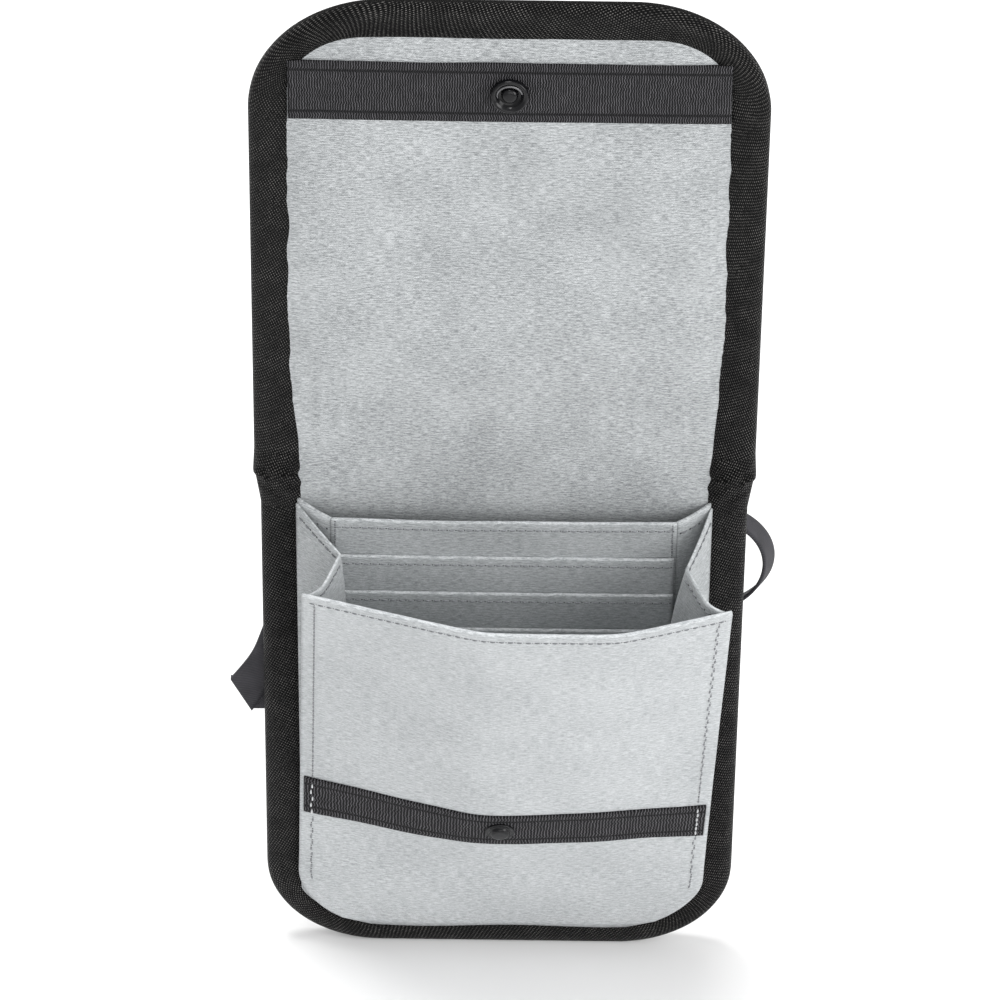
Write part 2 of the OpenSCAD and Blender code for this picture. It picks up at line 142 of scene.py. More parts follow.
# Cloth thickness, the depth of a hem, and how far apart the rows of a sheet's grid are
CLOTH_T = 0.45
HEM_H = 7.0
ROW_PITCH = 1.6

# Stitches: spacing, length and radius of the thread, and their distance in from an edge
STITCH_PITCH = 2.25
STITCH_L = 1.6
STITCH_R = 0.26
TAPE_EDGE = 2.7
SIDE_STITCH_IN = 3.4
FRONT_HEM_STITCH_DOWN = 3.0
POCKET_HEM_STITCH_DOWN = 2.6

# Height of the stitches' middle line over the middle of the cloth
FRONT_STITCH_LIFT = 0.6
POCKET_STITCH_LIFT = 0.55

# One stitch as rings of (place along it, share of the radius, lift), and its needle hole, a dark patch of
# painted shade
STITCH_SHAPE = (
    (-1.0, 0.25, -0.5),
    (-0.72, 0.8, 0.15),
    (0.0, 1.0, 0.45),
    (0.72, 0.8, 0.15),
    (1.0, 0.25, -0.5),
)
HOLE_SHAPE = ((1.0, -0.4), (0.75, 0.12), (0.2, 0.16))
STITCH_SIDES = 6

# Cloth simulation: slack, pressure, frames, largest rise, and rows held at the fold
CLOTH_SLACK = -0.006
CLOTH_PRESSURE = 0.2
CLOTH_FRAMES = 20
CLOTH_RISE = 0.9
HELD_ROWS = 12
PANEL_COLUMNS = 96

# Front panel: half width at its seam, corner radius, and the hem's sideways shift, bow and sag
FRONT_LOW_HALF = 55.0
POCKET_R = 20.0
SKEW = 3.6
BOW = 6.5
SAG = 2.4
# How far forward its two top corners stand, and where its two soft creases meet the hem
LEFT_OUT = 29.3
LEFT_BACK = 2.6
RIGHT_OUT = 31.0
LEFT_CREASE_X = -9.0
RIGHT_CREASE_X = 27.0
# Swell above the bottom seam, and the cloth's overhang below it
PUFF = 1.3
BOTTOM_DROP = 2.5
# Half height of its tape, and the distance up from the seam to the middle of the tape and the stud
FRONT_TAPE_HALF = 7.5
STUD_RUN = ((STUD_LOW[2] + STUD_HIGH[2]) / 2 - SEAM_Z) / math.cos(OPEN_SLOPE) + 0.3

# Organizer: its lean, its length up the slope, and the steps up and forward between two card slots
ORG_SLOPE = math.atan2(ORG_SEAM[1] - (ORG_LOW[1] + 0.25), ORG_TOP_Z - ORG_SEAM[2])
ORG_L = (ORG_TOP_Z - ORG_SEAM[2]) / math.cos(ORG_SLOPE)
SLOT_STEP = 12.5
SLOT_FORWARD = 1.25
# Depth of a card slot's hem, and the radius that its cloth and the organizer's turn over at the top
SLOT_HEM_H = 6.0
POCKET_HEM_R = 0.35

# Gussets, left and right: how far the fold stands inward, back and down, and its extra pinch halfway
GUSSET_FOLD = {-1: (10.0, 1.9, 3.5), 1: (8.5, 0.0, 3.0)}
GUSSET_PINCH = {-1: 0.6, 1: 1.0}
# Distance up the front panel at which both gussets start
GUSSET_LOW_RUN = 4.0

# The tilt of the flap's snap half
SNAP_TILT = math.radians(11)

# Neck strap: half width and thickness of the webbing, and passes of the folded bundle
WEB_HALF = 5.0
WEB_T = 0.9
PASSES = 4
PASS_PITCH = 1.3
PASS_HALF = 46.0
# Lean of the loop's webbing, in degrees, where it leaves the anchor and where it comes back
LOOP_LEAN = (20.0, 38.0)
# Left corner of the strap: (x, z) points down its outer and inner edges, before its folded tip
CORNER_OUTER = [(-46.5, 159.5), (-58.5, 134.0), (-63.2, 119.0), (-66.8, 107.5)]
CORNER_INNER = [(-37.0, 156.0), (-49.5, 129.0), (-54.5, 113.0), (-60.0, 99.0)]


# ---------------------------------------------------------------- materials

class Nodes:
    """Short way to build a material's node tree."""

    def __init__(self, name):
        self.material = bpy.data.materials.new(name)
        self.material.use_nodes = True
        self.tree = self.material.node_tree
        self.shader = self.tree.nodes["Principled BSDF"]

    def add(self, kind, links=None, **settings):
        """Makes a node, sets its settings, and feeds its inputs with values or with other nodes' outputs."""
        node = self.tree.nodes.new(kind)
        for key, value in settings.items():
            setattr(node, key, value)
        for key, value in (links or {}).items():
            self.feed(node.inputs[key], value)
        return node

    def feed(self, socket, value):
        """Links an output into a socket, or stores a plain value there."""
        if isinstance(value, bpy.types.NodeSocket):
            self.tree.links.new(value, socket)
        else:
            socket.default_value = value

    def math(self, operation, a, b=0.0, clamp=False):
        return self.add("ShaderNodeMath", {0: a, 1: b}, operation=operation, use_clamp=clamp).outputs[0]

    def plus(self, a, b, clamp=False):
        return self.math("ADD", a, b, clamp)

    def minus(self, a, b):
        return self.math("SUBTRACT", a, b)

    def times(self, a, b):
        return self.math("MULTIPLY", a, b)

    def mapped(self, low, high, value, to_low=0.0, to_high=1.0):
        """A value's place between low and high, spread over to_low to to_high and held inside them."""
        links = {"Value": value, "From Min": low, "From Max": high, "To Min": to_low, "To Max": to_high}
        return self.add("ShaderNodeMapRange", links, clamp=True).outputs[0]

    def noise(self, vector, scale, detail=2.0, roughness=0.5):
        links = {"Vector": vector, "Scale": scale, "Detail": detail, "Roughness": roughness}
        return self.add("ShaderNodeTexNoise", links).outputs["Fac"]

    def stretched(self, vector, scale):
        links = {"Vector": vector, "Scale": scale}
        return self.add("ShaderNodeMapping", links).outputs[0]

    def mix(self, factor, a, b):
        node = self.add("ShaderNodeMix", data_type="RGBA")
        color_a, color_b, color_result = 6, 7, 2
        self.feed(node.inputs["Factor"], factor)
        self.feed(node.inputs[color_a], a)
        self.feed(node.inputs[color_b], b)
        return node.outputs[color_result]

    def cloth_xy(self):
        """Millimetre coordinates along and across the cloth, from the weave layer."""
        uv = self.add("ShaderNodeUVMap", uv_map="weave").outputs[0]
        parts = self.add("ShaderNodeSeparateXYZ", {0: uv})
        return uv, parts.outputs[0], parts.outputs[1]

    def wave(self, value, pitch):
        """A sine from -1 to 1 that repeats every pitch millimetres."""
        return self.math("SINE", self.times(value, 2 * math.pi / pitch))

    def object_xyz(self):
        """Coordinates of the object itself, for a pattern that needs no weave layer."""
        return self.add("ShaderNodeTexCoord").outputs["Object"]

    def bump(self, height, distance):
        links = {"Height": height, "Strength": 1.0, "Distance": distance * MM}
        node = self.add("ShaderNodeBump", links)
        self.tree.links.new(node.outputs[0], self.shader.inputs["Normal"])

    def set(self, **values):
        for key, value in values.items():
            self.feed(self.shader.inputs[key.replace("_", " ")], value)


def rgb(r, g, b):
    """An opaque colour, as linear red, green and blue."""
    return (r, g, b, 1.0)


def heather(name, light, dark, contrast=0.1):
    """Two-tone woven polyester: short flat streaks along the weft over a fine plain weave."""
    n = Nodes(name)
    uv, along, across = n.cloth_xy()
    streak = n.noise(n.stretched(uv, (0.42, 2.7, 1.0)), 1.0, 2.0, 0.6)
    fleck = n.noise(n.stretched(uv, (1.3, 3.6, 1.0)), 1.0, 2.0, 0.7)
    cloud = n.noise(uv, 0.045, 2.0)
    mixed = n.plus(n.times(streak, 0.55), n.times(fleck, 0.45))
    tone = n.mapped(0.5 - contrast, 0.5 + contrast, mixed)
    shade = n.plus(tone, n.mapped(0.3, 0.7, cloud, -0.12, 0.12), clamp=True)
    yarn = n.times(n.wave(along, 0.66), n.wave(across, 0.52))
    color = n.mix(shade, dark, light)
    color = n.mix(n.mapped(-1.0, 1.0, yarn, 0.16, 0.0), color, rgb(0.16, 0.17, 0.18))
    height = n.plus(n.times(yarn, 0.35), n.times(streak, 0.9))
    n.bump(height, 0.1)
    n.set(Base_Color=color, Roughness=n.mapped(0.0, 1.0, tone, 0.95, 0.82))
    n.set(Sheen_Weight=0.15, Sheen_Roughness=0.5, Specular_IOR_Level=0.2)
    return n.material


def nylon_binding(name):
    """Black nylon tape with steep diagonal ribs, broken into small crowns that are painted lighter as a
    painted highlight.
    """
    n = Nodes(name)
    uv, along, across = n.cloth_xy()
    rib = n.wave(n.plus(along, n.times(across, RIB_STEEP)), RIB_PITCH)
    pick = n.wave(n.minus(along, n.times(across, 0.45)), 1.05)
    grain = n.noise(n.stretched(uv, (2.2, 2.2, 1.0)), 1.0, 2.0)
    glint_fade = n.noise(uv, 0.16, 3.0)
    height = n.plus(n.times(rib, 0.6), n.times(pick, 0.4))
    # Painted highlight: the crowns of the ribs are painted grey on the black tape, fading at random across
    # it
    crown = n.mapped(0.42, 0.9, n.plus(height, n.mapped(0.3, 0.7, grain, -0.35, 0.35)))
    crown = n.times(crown, n.mapped(0.35, 0.65, glint_fade, 0.45, 1.0))
    color = n.mix(crown, rgb(0.002, 0.002, 0.0022), rgb(0.2, 0.193, 0.185))
    n.bump(height, 0.5)
    n.set(Base_Color=color, Roughness=0.5, Specular_IOR_Level=0.1)
    return n.material


def grosgrain(name, half, pitch):
    """Charcoal tape, half millimetres to each edge, with close ribs and a sewn groove near both edges. Its
    rib crests are painted lighter, a painted highlight that is held back in the groove.
    """
    n = Nodes(name)
    uv, along, across = n.cloth_xy()
    line = n.math("ABSOLUTE", n.minus(n.math("ABSOLUTE", across), half - TAPE_EDGE))
    groove = n.mapped(0.15, 0.6, line, 1.0, 0.0)
    wander = n.noise(n.stretched(uv, (0.25, 0.9, 1.0)), 1.0, 1.0)
    sway = n.plus(along, n.times(groove, 0.3))
    sway = n.plus(sway, n.mapped(0.3, 0.7, wander, -0.2, 0.2))
    rib = n.wave(sway, pitch)
    uneven = n.noise(n.stretched(uv, (1.6, 0.3, 1.0)), 1.0, 2.0)
    fade = n.noise(uv, 0.12, 2.0)
    # Painted highlight: the rib crests are painted lighter than the near-black tape, unevenly, and hardly at
    # all in the sewn groove
    painted_rib_light = n.times(n.mapped(0.15, 1.0, rib), n.mapped(0.3, 0.7, uneven, 0.45, 1.0))
    painted_rib_light = n.times(painted_rib_light, n.mapped(0.3, 0.7, fade, 0.8, 1.0))
    painted_rib_light = n.times(painted_rib_light, n.mapped(0.0, 1.0, groove, 1.0, 0.1))
    color = n.mix(painted_rib_light, rgb(0.004, 0.004, 0.005), rgb(0.15, 0.146, 0.157))
    n.bump(n.minus(rib, n.times(groove, 1.5)), 0.14)
    n.set(Base_Color=color, Roughness=0.75, Specular_IOR_Level=0.2)
    return n.material


def webbing(name):
    """Charcoal flat webbing with a fine twill along its length."""
    n = Nodes(name)
    uv, along, across = n.cloth_xy()
    twill = n.wave(n.plus(along, n.times(across, 1.6)), 0.9)
    fade = n.noise(uv, 0.15, 2.0)
    tone = n.mapped(-1.0, 1.0, twill, 0.15, 0.5)
    tone = n.plus(tone, n.mapped(0.3, 0.7, fade, 0.0, 0.35), clamp=True)
    color = n.mix(tone, rgb(0.012, 0.012, 0.014), rgb(0.062, 0.06, 0.069))
    n.bump(twill, 0.04)
    n.set(Base_Color=color, Roughness=0.7, Specular_IOR_Level=0.2)
    return n.material


def thread_material(name, color):
    """Twisted sewing thread."""
    n = Nodes(name)
    position = n.object_xyz()
    twist = n.noise(position, 2200.0, 1.0)
    n.bump(twist, 0.05)
    shade = n.mapped(0.3, 0.7, twist, 0.75, 1.0)
    tint = n.mix(shade, rgb(0.05, 0.05, 0.055), color)
    n.set(Base_Color=tint, Roughness=0.6, Sheen_Weight=0.2)
    return n.material


def moulded_plastic(name, color, roughness):
    """Moulded plastic with a faint flow mark and handling scuffs."""
    n = Nodes(name)
    position = n.object_xyz()
    scuff = n.noise(position, 900.0, 3.0)
    n.bump(scuff, 0.01)
    n.set(Base_Color=color, Roughness=n.mapped(0.3, 0.7, scuff, roughness, roughness + 0.12))
    n.set(Specular_IOR_Level=0.28)
    return n.material


def foam_material(name):
    """Closed-cell foam, seen only where the layers are cut."""
    n = Nodes(name)
    position = n.object_xyz()
    cells = n.add("ShaderNodeTexVoronoi", {"Vector": position, "Scale": 1400.0}).outputs["Distance"]
    n.bump(cells, 0.2)
    n.set(Base_Color=n.mix(cells, rgb(0.5, 0.5, 0.49), rgb(0.78, 0.78, 0.76)), Roughness=0.9)
    return n.material


def drawn_wire(name):
    """Drawn spring wire, darkened."""
    n = Nodes(name)
    position = n.object_xyz()
    draw = n.noise(n.stretched(position, (200.0, 4000.0, 200.0)), 1.0, 2.0)
    n.set(Base_Color=rgb(0.16, 0.16, 0.165), Metallic=1.0, Roughness=n.mapped(0.3, 0.7, draw, 0.35, 0.5))
    return n.material


SHELL = heather("shell_heather", rgb(0.575, 0.595, 0.605), rgb(0.33, 0.345, 0.355))
LINING = heather("lining_heather", rgb(0.57, 0.59, 0.6), rgb(0.22, 0.232, 0.238), 0.11)
POCKET = heather("pocket_heather", rgb(0.56, 0.58, 0.59), rgb(0.29, 0.305, 0.312))
BINDING = nylon_binding("nylon_binding")
FLAP_TAPE = grosgrain("flap_grosgrain", (TAPE_HIGH[2] - TAPE_LOW[2]) / 2, 0.64)
FRONT_TAPE = grosgrain("front_grosgrain", FRONT_TAPE_HALF, 0.78)
STRAP = webbing("strap_webbing")
PALE_THREAD = thread_material("pale_thread", rgb(0.2, 0.21, 0.22))
WHITE_THREAD = thread_material("white_thread", rgb(0.6, 0.61, 0.62))
DARK_THREAD = thread_material("dark_thread", rgb(0.05, 0.05, 0.054))
# Nearly black patches put in the needle holes between stitches: painted shade
NEEDLE_HOLE_SHADE = thread_material("needle_hole_shade", rgb(0.025, 0.027, 0.03))
SNAP = moulded_plastic("snap_plastic", rgb(0.004, 0.004, 0.005), 0.16)
SLIDER = moulded_plastic("slider_plastic", rgb(0.018, 0.018, 0.02), 0.4)
FOAM = foam_material("foam")
WIRE = drawn_wire("spring_wire")


# ---------------------------------------------------------------- mesh helpers

def add_object(name, data):
    """A new object in the scene that shows a mesh, a light or a camera."""
    obj = bpy.data.objects.new(name, data)
    bpy.context.scene.collection.objects.link(obj)
    return obj


def make_object(name, points, faces, materials, uv=None, face_material=None):
    """A mesh object from points in millimetres. uv holds one pair for each point."""
    points = np.asarray(points, float)
    mesh = bpy.data.meshes.new(name)
    mesh.from_pydata((points * MM).tolist(), [], faces)
    mesh.update()
    for material in materials:
        mesh.materials.append(material)
    if uv is not None:
        layer = mesh.uv_layers.new(name="weave")
        corner = np.zeros(len(mesh.loops), np.int32)
        mesh.loops.foreach_get("vertex_index", corner)
        layer.data.foreach_set("uv", np.asarray(uv, np.float32)[corner].ravel())
    if face_material is not None:
        mesh.polygons.foreach_set("material_index", np.asarray(face_material, np.int32))
    mesh.polygons.foreach_set("use_smooth", [True] * len(mesh.polygons))
    return add_object(name, mesh)


def grid_faces(rows, columns, wrap=False):
    """Quads of a grid of points, row after row. wrap joins the last column to the first."""
    faces = []
    spans = columns if wrap else columns - 1
    for row in range(rows - 1):
        for column in range(spans):
            right = (column + 1) % columns
            a = row * columns
            faces.append((a + column, a + right, a + columns + right, a + columns + column))
    return faces


def spread(down, across):
    """Two grids with a row for each value of down and a column for each value of across."""
    return np.meshgrid(down, across, indexing="ij")


def run_along(points):
    """Distance travelled at each point of a path."""
    steps = np.linalg.norm(np.diff(points, axis=0), axis=1)
    return np.concatenate([[0.0], np.cumsum(steps)])


def cloth_sheet(name, points, uv, material, thickness=CLOTH_T, rim=True):
    """A sheet from a grid of points (rows, columns, 3), given its thickness by a modifier."""
    rows, columns = points.shape[:2]
    faces = grid_faces(rows, columns)
    obj = make_object(name, points.reshape(-1, 3), faces, [material], uv.reshape(-1, 2))
    solid = obj.modifiers.new("thickness", "SOLIDIFY")
    solid.thickness = thickness * MM
    solid.offset = 0.0
    solid.use_rim = rim
    return obj


def tube(name, centres, sides, ups, half_w, half_t, material, run_start=0.0, crumple=None):
    """A padded strip swept along centres. Its section is a rounded box, half_w by half_t."""
    around, power = 24, 0.75
    centres, sides, ups = (np.asarray(a, float) for a in (centres, sides, ups))
    half_w = np.broadcast_to(np.asarray(half_w, float), len(centres))
    angles = np.linspace(0, 2 * math.pi, around, endpoint=False)
    c, s = np.cos(angles), np.sin(angles)
    unit = np.sign(c) * np.abs(c) ** power
    width = unit[None, :] * half_w[:, None]
    depth = np.broadcast_to(np.sign(s) * np.abs(s) ** power * half_t, width.shape)
    if crumple is not None:
        depth = depth + np.sin(angles)[None, :] * crumple(centres, width)
    ring = centres[:, None, :] + sides[:, None, :] * width[..., None] + ups[:, None, :] * depth[..., None]
    run = run_start + run_along(centres)
    flat = np.hypot(np.diff(unit * half_w.max()), np.diff(depth[0]))
    girth = np.concatenate([[0.0], np.cumsum(flat)])
    uv = np.stack(spread(run, girth), axis=-1)
    faces = grid_faces(len(centres), around, wrap=True)
    last = (len(centres) - 1) * around
    faces.append(tuple(reversed(range(around))))
    faces.append(tuple(range(last, last + around)))
    return make_object(name, ring.reshape(-1, 3), faces, [material], uv.reshape(-1, 2))


def lathe(name, profile, centre, axis, material, steps=64):
    """Turns a profile of (radius, height) points round an axis through centre."""
    axis = Vector(axis).normalized()
    side = axis.orthogonal().normalized()
    other = axis.cross(side)
    points = []
    for radius, height in profile:
        for i in range(steps):
            a = 2 * math.pi * i / steps
            offset = (side * math.cos(a) + other * math.sin(a)) * radius + axis * height
            points.append(np.array(centre) + np.array(offset))
    faces = grid_faces(len(profile), steps, wrap=True)
    faces.append(tuple(reversed(range(steps))))
    last = (len(profile) - 1) * steps
    faces.append(tuple(range(last, last + steps)))
    obj = make_object(name, points, faces, [material])
    edges = obj.modifiers.new("edges", "BEVEL")
    edges.width = 0.12 * MM
    edges.segments = 2
    edges.limit_method = "ANGLE"
    edges.angle_limit = math.radians(40)
    edges.harden_normals = False
    return obj


def stitch_thread(centre, ahead, side, up):
    """Points of one short plump thread that dips into the cloth at both ends."""
    points = []
    for along, size, lift in STITCH_SHAPE:
        for k in range(STITCH_SIDES):
            a = 2 * math.pi * k / STITCH_SIDES
            offset = side * math.cos(a) * STITCH_R * size + up * (math.sin(a) * size + lift) * STITCH_R
            points.append(centre + ahead * along * STITCH_L / 2 + offset)
    return points


def needle_hole_shade(spot, ahead, side, up):
    """Points of the small dark patch between two stitches: painted shade in the needle hole."""
    points = []
    for size, lift in HOLE_SHAPE:
        for k in range(STITCH_SIDES):
            a = 2 * math.pi * k / STITCH_SIDES
            flat = (side * math.cos(a) + ahead * math.sin(a)) * size * STITCH_R * 1.15
            points.append(spot + flat + up * lift * STITCH_R)
    return points


def stitch_row(name, path, normals, thread, hole=None, sway=0.0):
    """Stitches along a path on cloth, with dark patches of painted shade in the needle holes between them if
    a material for those is given.
    """
    path = np.asarray(path, float)
    normals = np.asarray(normals, float)
    run = run_along(path)
    count = max(1, int(run[-1] / STITCH_PITCH))
    thread_faces = grid_faces(len(STITCH_SHAPE), STITCH_SIDES, wrap=True)
    hole_faces = grid_faces(len(HOLE_SHAPE), STITCH_SIDES, wrap=True)
    hole_faces.append(tuple(range(2 * STITCH_SIDES, 3 * STITCH_SIDES)))
    points, faces, index = [], [], []

    def at(values, distance):
        return np.array([np.interp(distance, run, values[:, k]) for k in range(3)])

    def append(new_points, new_faces, material_index):
        first = len(points)
        points.extend(new_points)
        faces.extend(tuple(first + v for v in face) for face in new_faces)
        index.extend([material_index] * len(new_faces))

    for middle in (np.arange(count) + 0.5) * run[-1] / count:
        ahead = at(path, min(middle + 0.3, run[-1])) - at(path, max(middle - 0.3, 0.0))
        ahead /= np.linalg.norm(ahead)
        up = at(normals, middle)
        up /= np.linalg.norm(up)
        side = np.cross(up, ahead)
        centre = at(path, middle) + side * sway * math.cos(middle * math.pi / STITCH_PITCH)
        append(stitch_thread(centre, ahead, side, up), thread_faces, 0)
        if hole is not None:
            spot = centre + ahead * (STITCH_L / 2 + (STITCH_PITCH - STITCH_L) / 2)
            append(needle_hole_shade(spot, ahead, side, up), hole_faces, 1)
    materials = [thread] if hole is None else [thread, hole]
    return make_object(name, points, faces, materials, face_material=index)


def smooth_noise(x, z, seed, scale):
    """Gentle repeatable waviness from a few sines."""
    rng = np.random.default_rng(seed)
    total = np.zeros_like(x, dtype=float)
    for _ in range(5):
        angle = rng.uniform(0, math.pi)
        phase = rng.uniform(0, 2 * math.pi)
        wave = rng.uniform(0.6, 1.6) / scale
        total += np.sin((x * math.cos(angle) + z * math.sin(angle)) * 2 * math.pi * wave + phase)
    return total / 5


def put(piece, slot, body, *nodes):
    """Lets a piece ride on a body, and hides the CAD nodes it stands for; slot is not used."""
    if nodes:
        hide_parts(*nodes)
    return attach(piece, body)


# ---------------------------------------------------------------- outlines

def tongue_half_width(z, tip, half, radius):
    """Half width at height z of a tongue whose round end is at tip. It may point up or down."""
    to_tip = np.abs(tip - z)
    drop = np.clip(radius - to_tip, 0.0, radius)
    return half - radius + np.sqrt(np.maximum(radius ** 2 - drop ** 2, 0.0))


def tongue_path(start, tip, half, radius):
    """Points (x, z) along a tongue's edge, from its left end round its tip to its right end."""
    straight_n, arc_n, flat_n = 110, 36, 60
    sign = 1.0 if tip > start else -1.0
    straight = abs(tip - start) - radius
    rise = start + sign * np.linspace(0, straight, straight_n, endpoint=False)
    angle = np.linspace(0, math.pi / 2, arc_n, endpoint=False)
    flat = np.linspace(radius - half, 0, flat_n)
    x = np.concatenate([np.full_like(rise, -half), radius - half - radius * np.cos(angle), flat])
    z = np.concatenate([rise, start + sign * (straight + radius * np.sin(angle)), np.full_like(flat, tip)])
    return np.stack([np.concatenate([x, -x[-2::-1]]), np.concatenate([z, z[-2::-1]])], axis=1)


# ---------------------------------------------------------------- bindings

def binding_tube(name, start, tip, half, radius, run_start=0.0):
    """The padded binding round a tongue, swept between the panel's outline and its opening."""
    sign = 1.0 if tip > start else -1.0
    outer = tongue_path(start, tip, half, radius)
    inner = tongue_path(start, tip - sign * BIND_W, half - BIND_W, OPENING_R)
    if sign > 0:
        near_fold = np.exp(-((inner[:, 1] - start) / 14.0) ** 2)
        inner[:, 0] *= 1 - (half - BODY_HALF) / (half - BIND_W) * near_fold
    across = np.stack([outer[:, 0] - inner[:, 0], np.zeros(len(outer)), outer[:, 1] - inner[:, 1]], axis=1)
    width = np.linalg.norm(across, axis=1)
    middle = (outer + inner) / 2
    centres = np.stack([middle[:, 0], np.zeros(len(middle)), middle[:, 1]], axis=1)
    ups = np.tile((0.0, -1.0, 0.0), (len(centres), 1))
    sides = across / width[:, None]
    return tube(name, centres, sides, ups, width / 2 + BIND_LAP, BIND_HALF_T, BINDING, run_start)


def binding_strip(name, side, z0, z1, half0, half1):
    """A straight stretch of gathered binding beside the spine, from height z0 to z1."""
    steps = max(4, int((z1 - z0) / 0.4))
    z = np.linspace(z0, z1, steps)
    half = np.interp(z, [z0, z1], [half0, half1])
    inner = BODY_HALF - BIND_W
    centres = np.stack([side * (half + inner) / 2, np.zeros(steps), z], axis=1)
    sides = np.tile((side * 1.0, 0.0, 0.0), (steps, 1))
    ups = np.tile((0.0, -1.0, 0.0), (steps, 1))
    half_w = (half - inner) / 2 + BIND_LAP
    return tube(name, centres, sides, ups, half_w, BIND_HALF_T, BINDING, z0, gathers)


def bend(piece):
    """Bakes a piece's placement into its mesh."""
    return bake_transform(piece)


def bend_low(piece):
    """Bakes the placement of a piece between the back and the spine into its mesh."""
    return bend(piece)


def bend_high(piece):
    """Bakes the placement of a piece between the spine and the flap into its mesh."""
    return bend(piece)


def gathers(centres, width):
    """Soft creases where the two bindings are sewn together, strongest at the seam."""
    z = centres[:, 2][:, None] * np.ones_like(width)
    strength = np.clip(1 - np.abs(z - GATHER_Z) / 9.0, 0, 1)
    creases = 0.45 * np.sin(width * 1.9 + z * 0.5) + 0.35 * np.sin(width * 0.9 - z * 1.1 + 1.0)
    return strength * (creases + 0.35)


def build_bindings():
    """Body and flap bindings, and the gathered stretches that join them beside the spine."""
    body = binding_tube("body_binding_cloth", GATHER_LOW_Z + 1.0, 0.0, BODY_HALF, BODY_CORNER_R)
    put(body, "binding_tape", "back", "body_binding")
    flap = binding_tube("flap_binding_cloth", FOLD_MID_Z, TIP_Z, FLAP_HALF, FLAP_CORNER_R, FOLD_MID_Z)
    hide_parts("flap_binding")
    bend_high(flap)
    for word, side in SIDES:
        spine = binding_strip("spine_binding_" + word, side, GATHER_Z, FOLD_MID_Z + 0.2,
                              BODY_HALF + 1.9, FLAP_HALF)
        bend_low(spine)
        lap = binding_strip("binding_lap_" + word, side, GATHER_LOW_Z, GATHER_Z + 0.8,
                            BODY_HALF - 0.1, BODY_HALF + 1.6)
        bend_low(lap)
        if side < 0:
            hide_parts("spine_binding")
            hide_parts("binding_laps")


# ---------------------------------------------------------------- padded panels

def tip_rows(start, tip, radius):
    """Heights of grid rows, close together where the round end curves away."""
    sign = 1.0 if tip > start else -1.0
    straight = abs(tip - start) - radius
    low = np.linspace(0, straight, max(4, int(straight / ROW_PITCH)), endpoint=False)
    high = straight + radius * np.sin(np.linspace(0, math.pi / 2, 26))
    return start + sign * np.concatenate([low, high])


def padded_sheet(name, start, tip, half, y, crown, material, seed):
    """A panel's face, crowned between its bound edges: forward if crown is positive, back if negative.

    It starts flat, over the distance PANEL_JOIN, where it meets the next panel.
    """
    inset = BIND_W * PANEL_INSET
    radius = OPENING_R + BIND_W - inset
    sign = 1.0 if tip > start else -1.0
    top = tip - sign * inset
    rows = tip_rows(start, top, radius)
    z, u = spread(rows, np.linspace(-1, 1, PANEL_COLUMNS))
    x = u * tongue_half_width(z, top, half - inset, radius)
    edge = 1 - np.abs(u) ** 6
    end = np.clip(np.abs(top - z) / 16.0, 0, 1)
    begin = np.clip(np.abs(z - start) / PANEL_JOIN, 0, 1)
    fullness = edge * np.sqrt(end) * begin * begin * (3 - 2 * begin)
    ripple = smooth_noise(x, z, seed, 42.0) * 0.35 + smooth_noise(x, z, seed + 1, 17.0) * 0.12
    near_fold = np.exp(-((z - FOLD_MID_Z) / 13.0) ** 2)
    wrinkle = smooth_noise(x, z * 0.25, 61, 11.0) * 0.5 * near_fold
    depth = y - (crown + ripple * np.sign(crown)) * fullness - wrinkle
    points = np.stack([x, depth, z], axis=-1)
    uv = np.stack([x, z], axis=-1)
    return cloth_sheet(name, points, uv, material, 0.6, rim=False)


def pin_edges(sheet):
    """A group that holds a sheet's edges, its fold end and the part under the tape."""
    vertices = sheet.data.vertices
    count = len(vertices)
    held = []
    for i, vertex in enumerate(vertices):
        on_side = i % PANEL_COLUMNS in (0, PANEL_COLUMNS - 1)
        on_end = i < HELD_ROWS * PANEL_COLUMNS or i >= count - PANEL_COLUMNS
        under_tape = vertex.co.z / MM > TAPE_LOW[2] - 2.0
        if on_side or on_end or under_tape:
            held.append(i)
    group = sheet.vertex_groups.new(name="pinned")
    group.add(held, 1.0, "REPLACE")
    return group


def add_cloth(sheet, crown):
    """A cloth modifier for a light stiff fabric with a little pressure towards the crown."""
    cloth = sheet.modifiers.new("cloth", "CLOTH")
    settings = cloth.settings
    settings.quality = 5
    settings.mass = 0.15
    settings.tension_stiffness = 8.0
    settings.compression_stiffness = 8.0
    settings.shear_stiffness = 4.0
    settings.bending_stiffness = 0.02
    settings.vertex_group_mass = "pinned"
    settings.shrink_min = CLOTH_SLACK
    settings.effector_weights.gravity = 0.0
    settings.use_pressure = True
    settings.uniform_pressure_force = math.copysign(CLOTH_PRESSURE, crown)
    cloth.collision_settings.use_collision = False
    cloth.point_cache.frame_start = 1
    cloth.point_cache.frame_end = CLOTH_FRAMES
    return cloth


def settle_cloth(sheet, crown):
    """Lets a pinned sheet fill out under light pressure, as cloth over foam, and keeps that shape."""
    mesh = sheet.data
    pinned = pin_edges(sheet)
    thickness = sheet.modifiers["thickness"]
    thickness.show_viewport = False
    cloth = add_cloth(sheet, crown)
    scene = bpy.context.scene
    for step in range(1, CLOTH_FRAMES + 1):
        scene.frame_set(step)
    settled = sheet.evaluated_get(bpy.context.evaluated_depsgraph_get())
    moved = np.zeros(len(mesh.vertices) * 3)
    rest = np.zeros_like(moved)
    settled.data.vertices.foreach_get("co", moved)
    mesh.vertices.foreach_get("co", rest)
    shift = moved - rest
    shift *= min(1.0, CLOTH_RISE * MM / max(np.abs(shift).max(), 1e-9))
    sheet.modifiers.remove(cloth)
    mesh.vertices.foreach_set("co", rest + shift)
    mesh.update()
    thickness.show_viewport = True
    sheet.vertex_groups.remove(pinned)
    scene.frame_set(1)


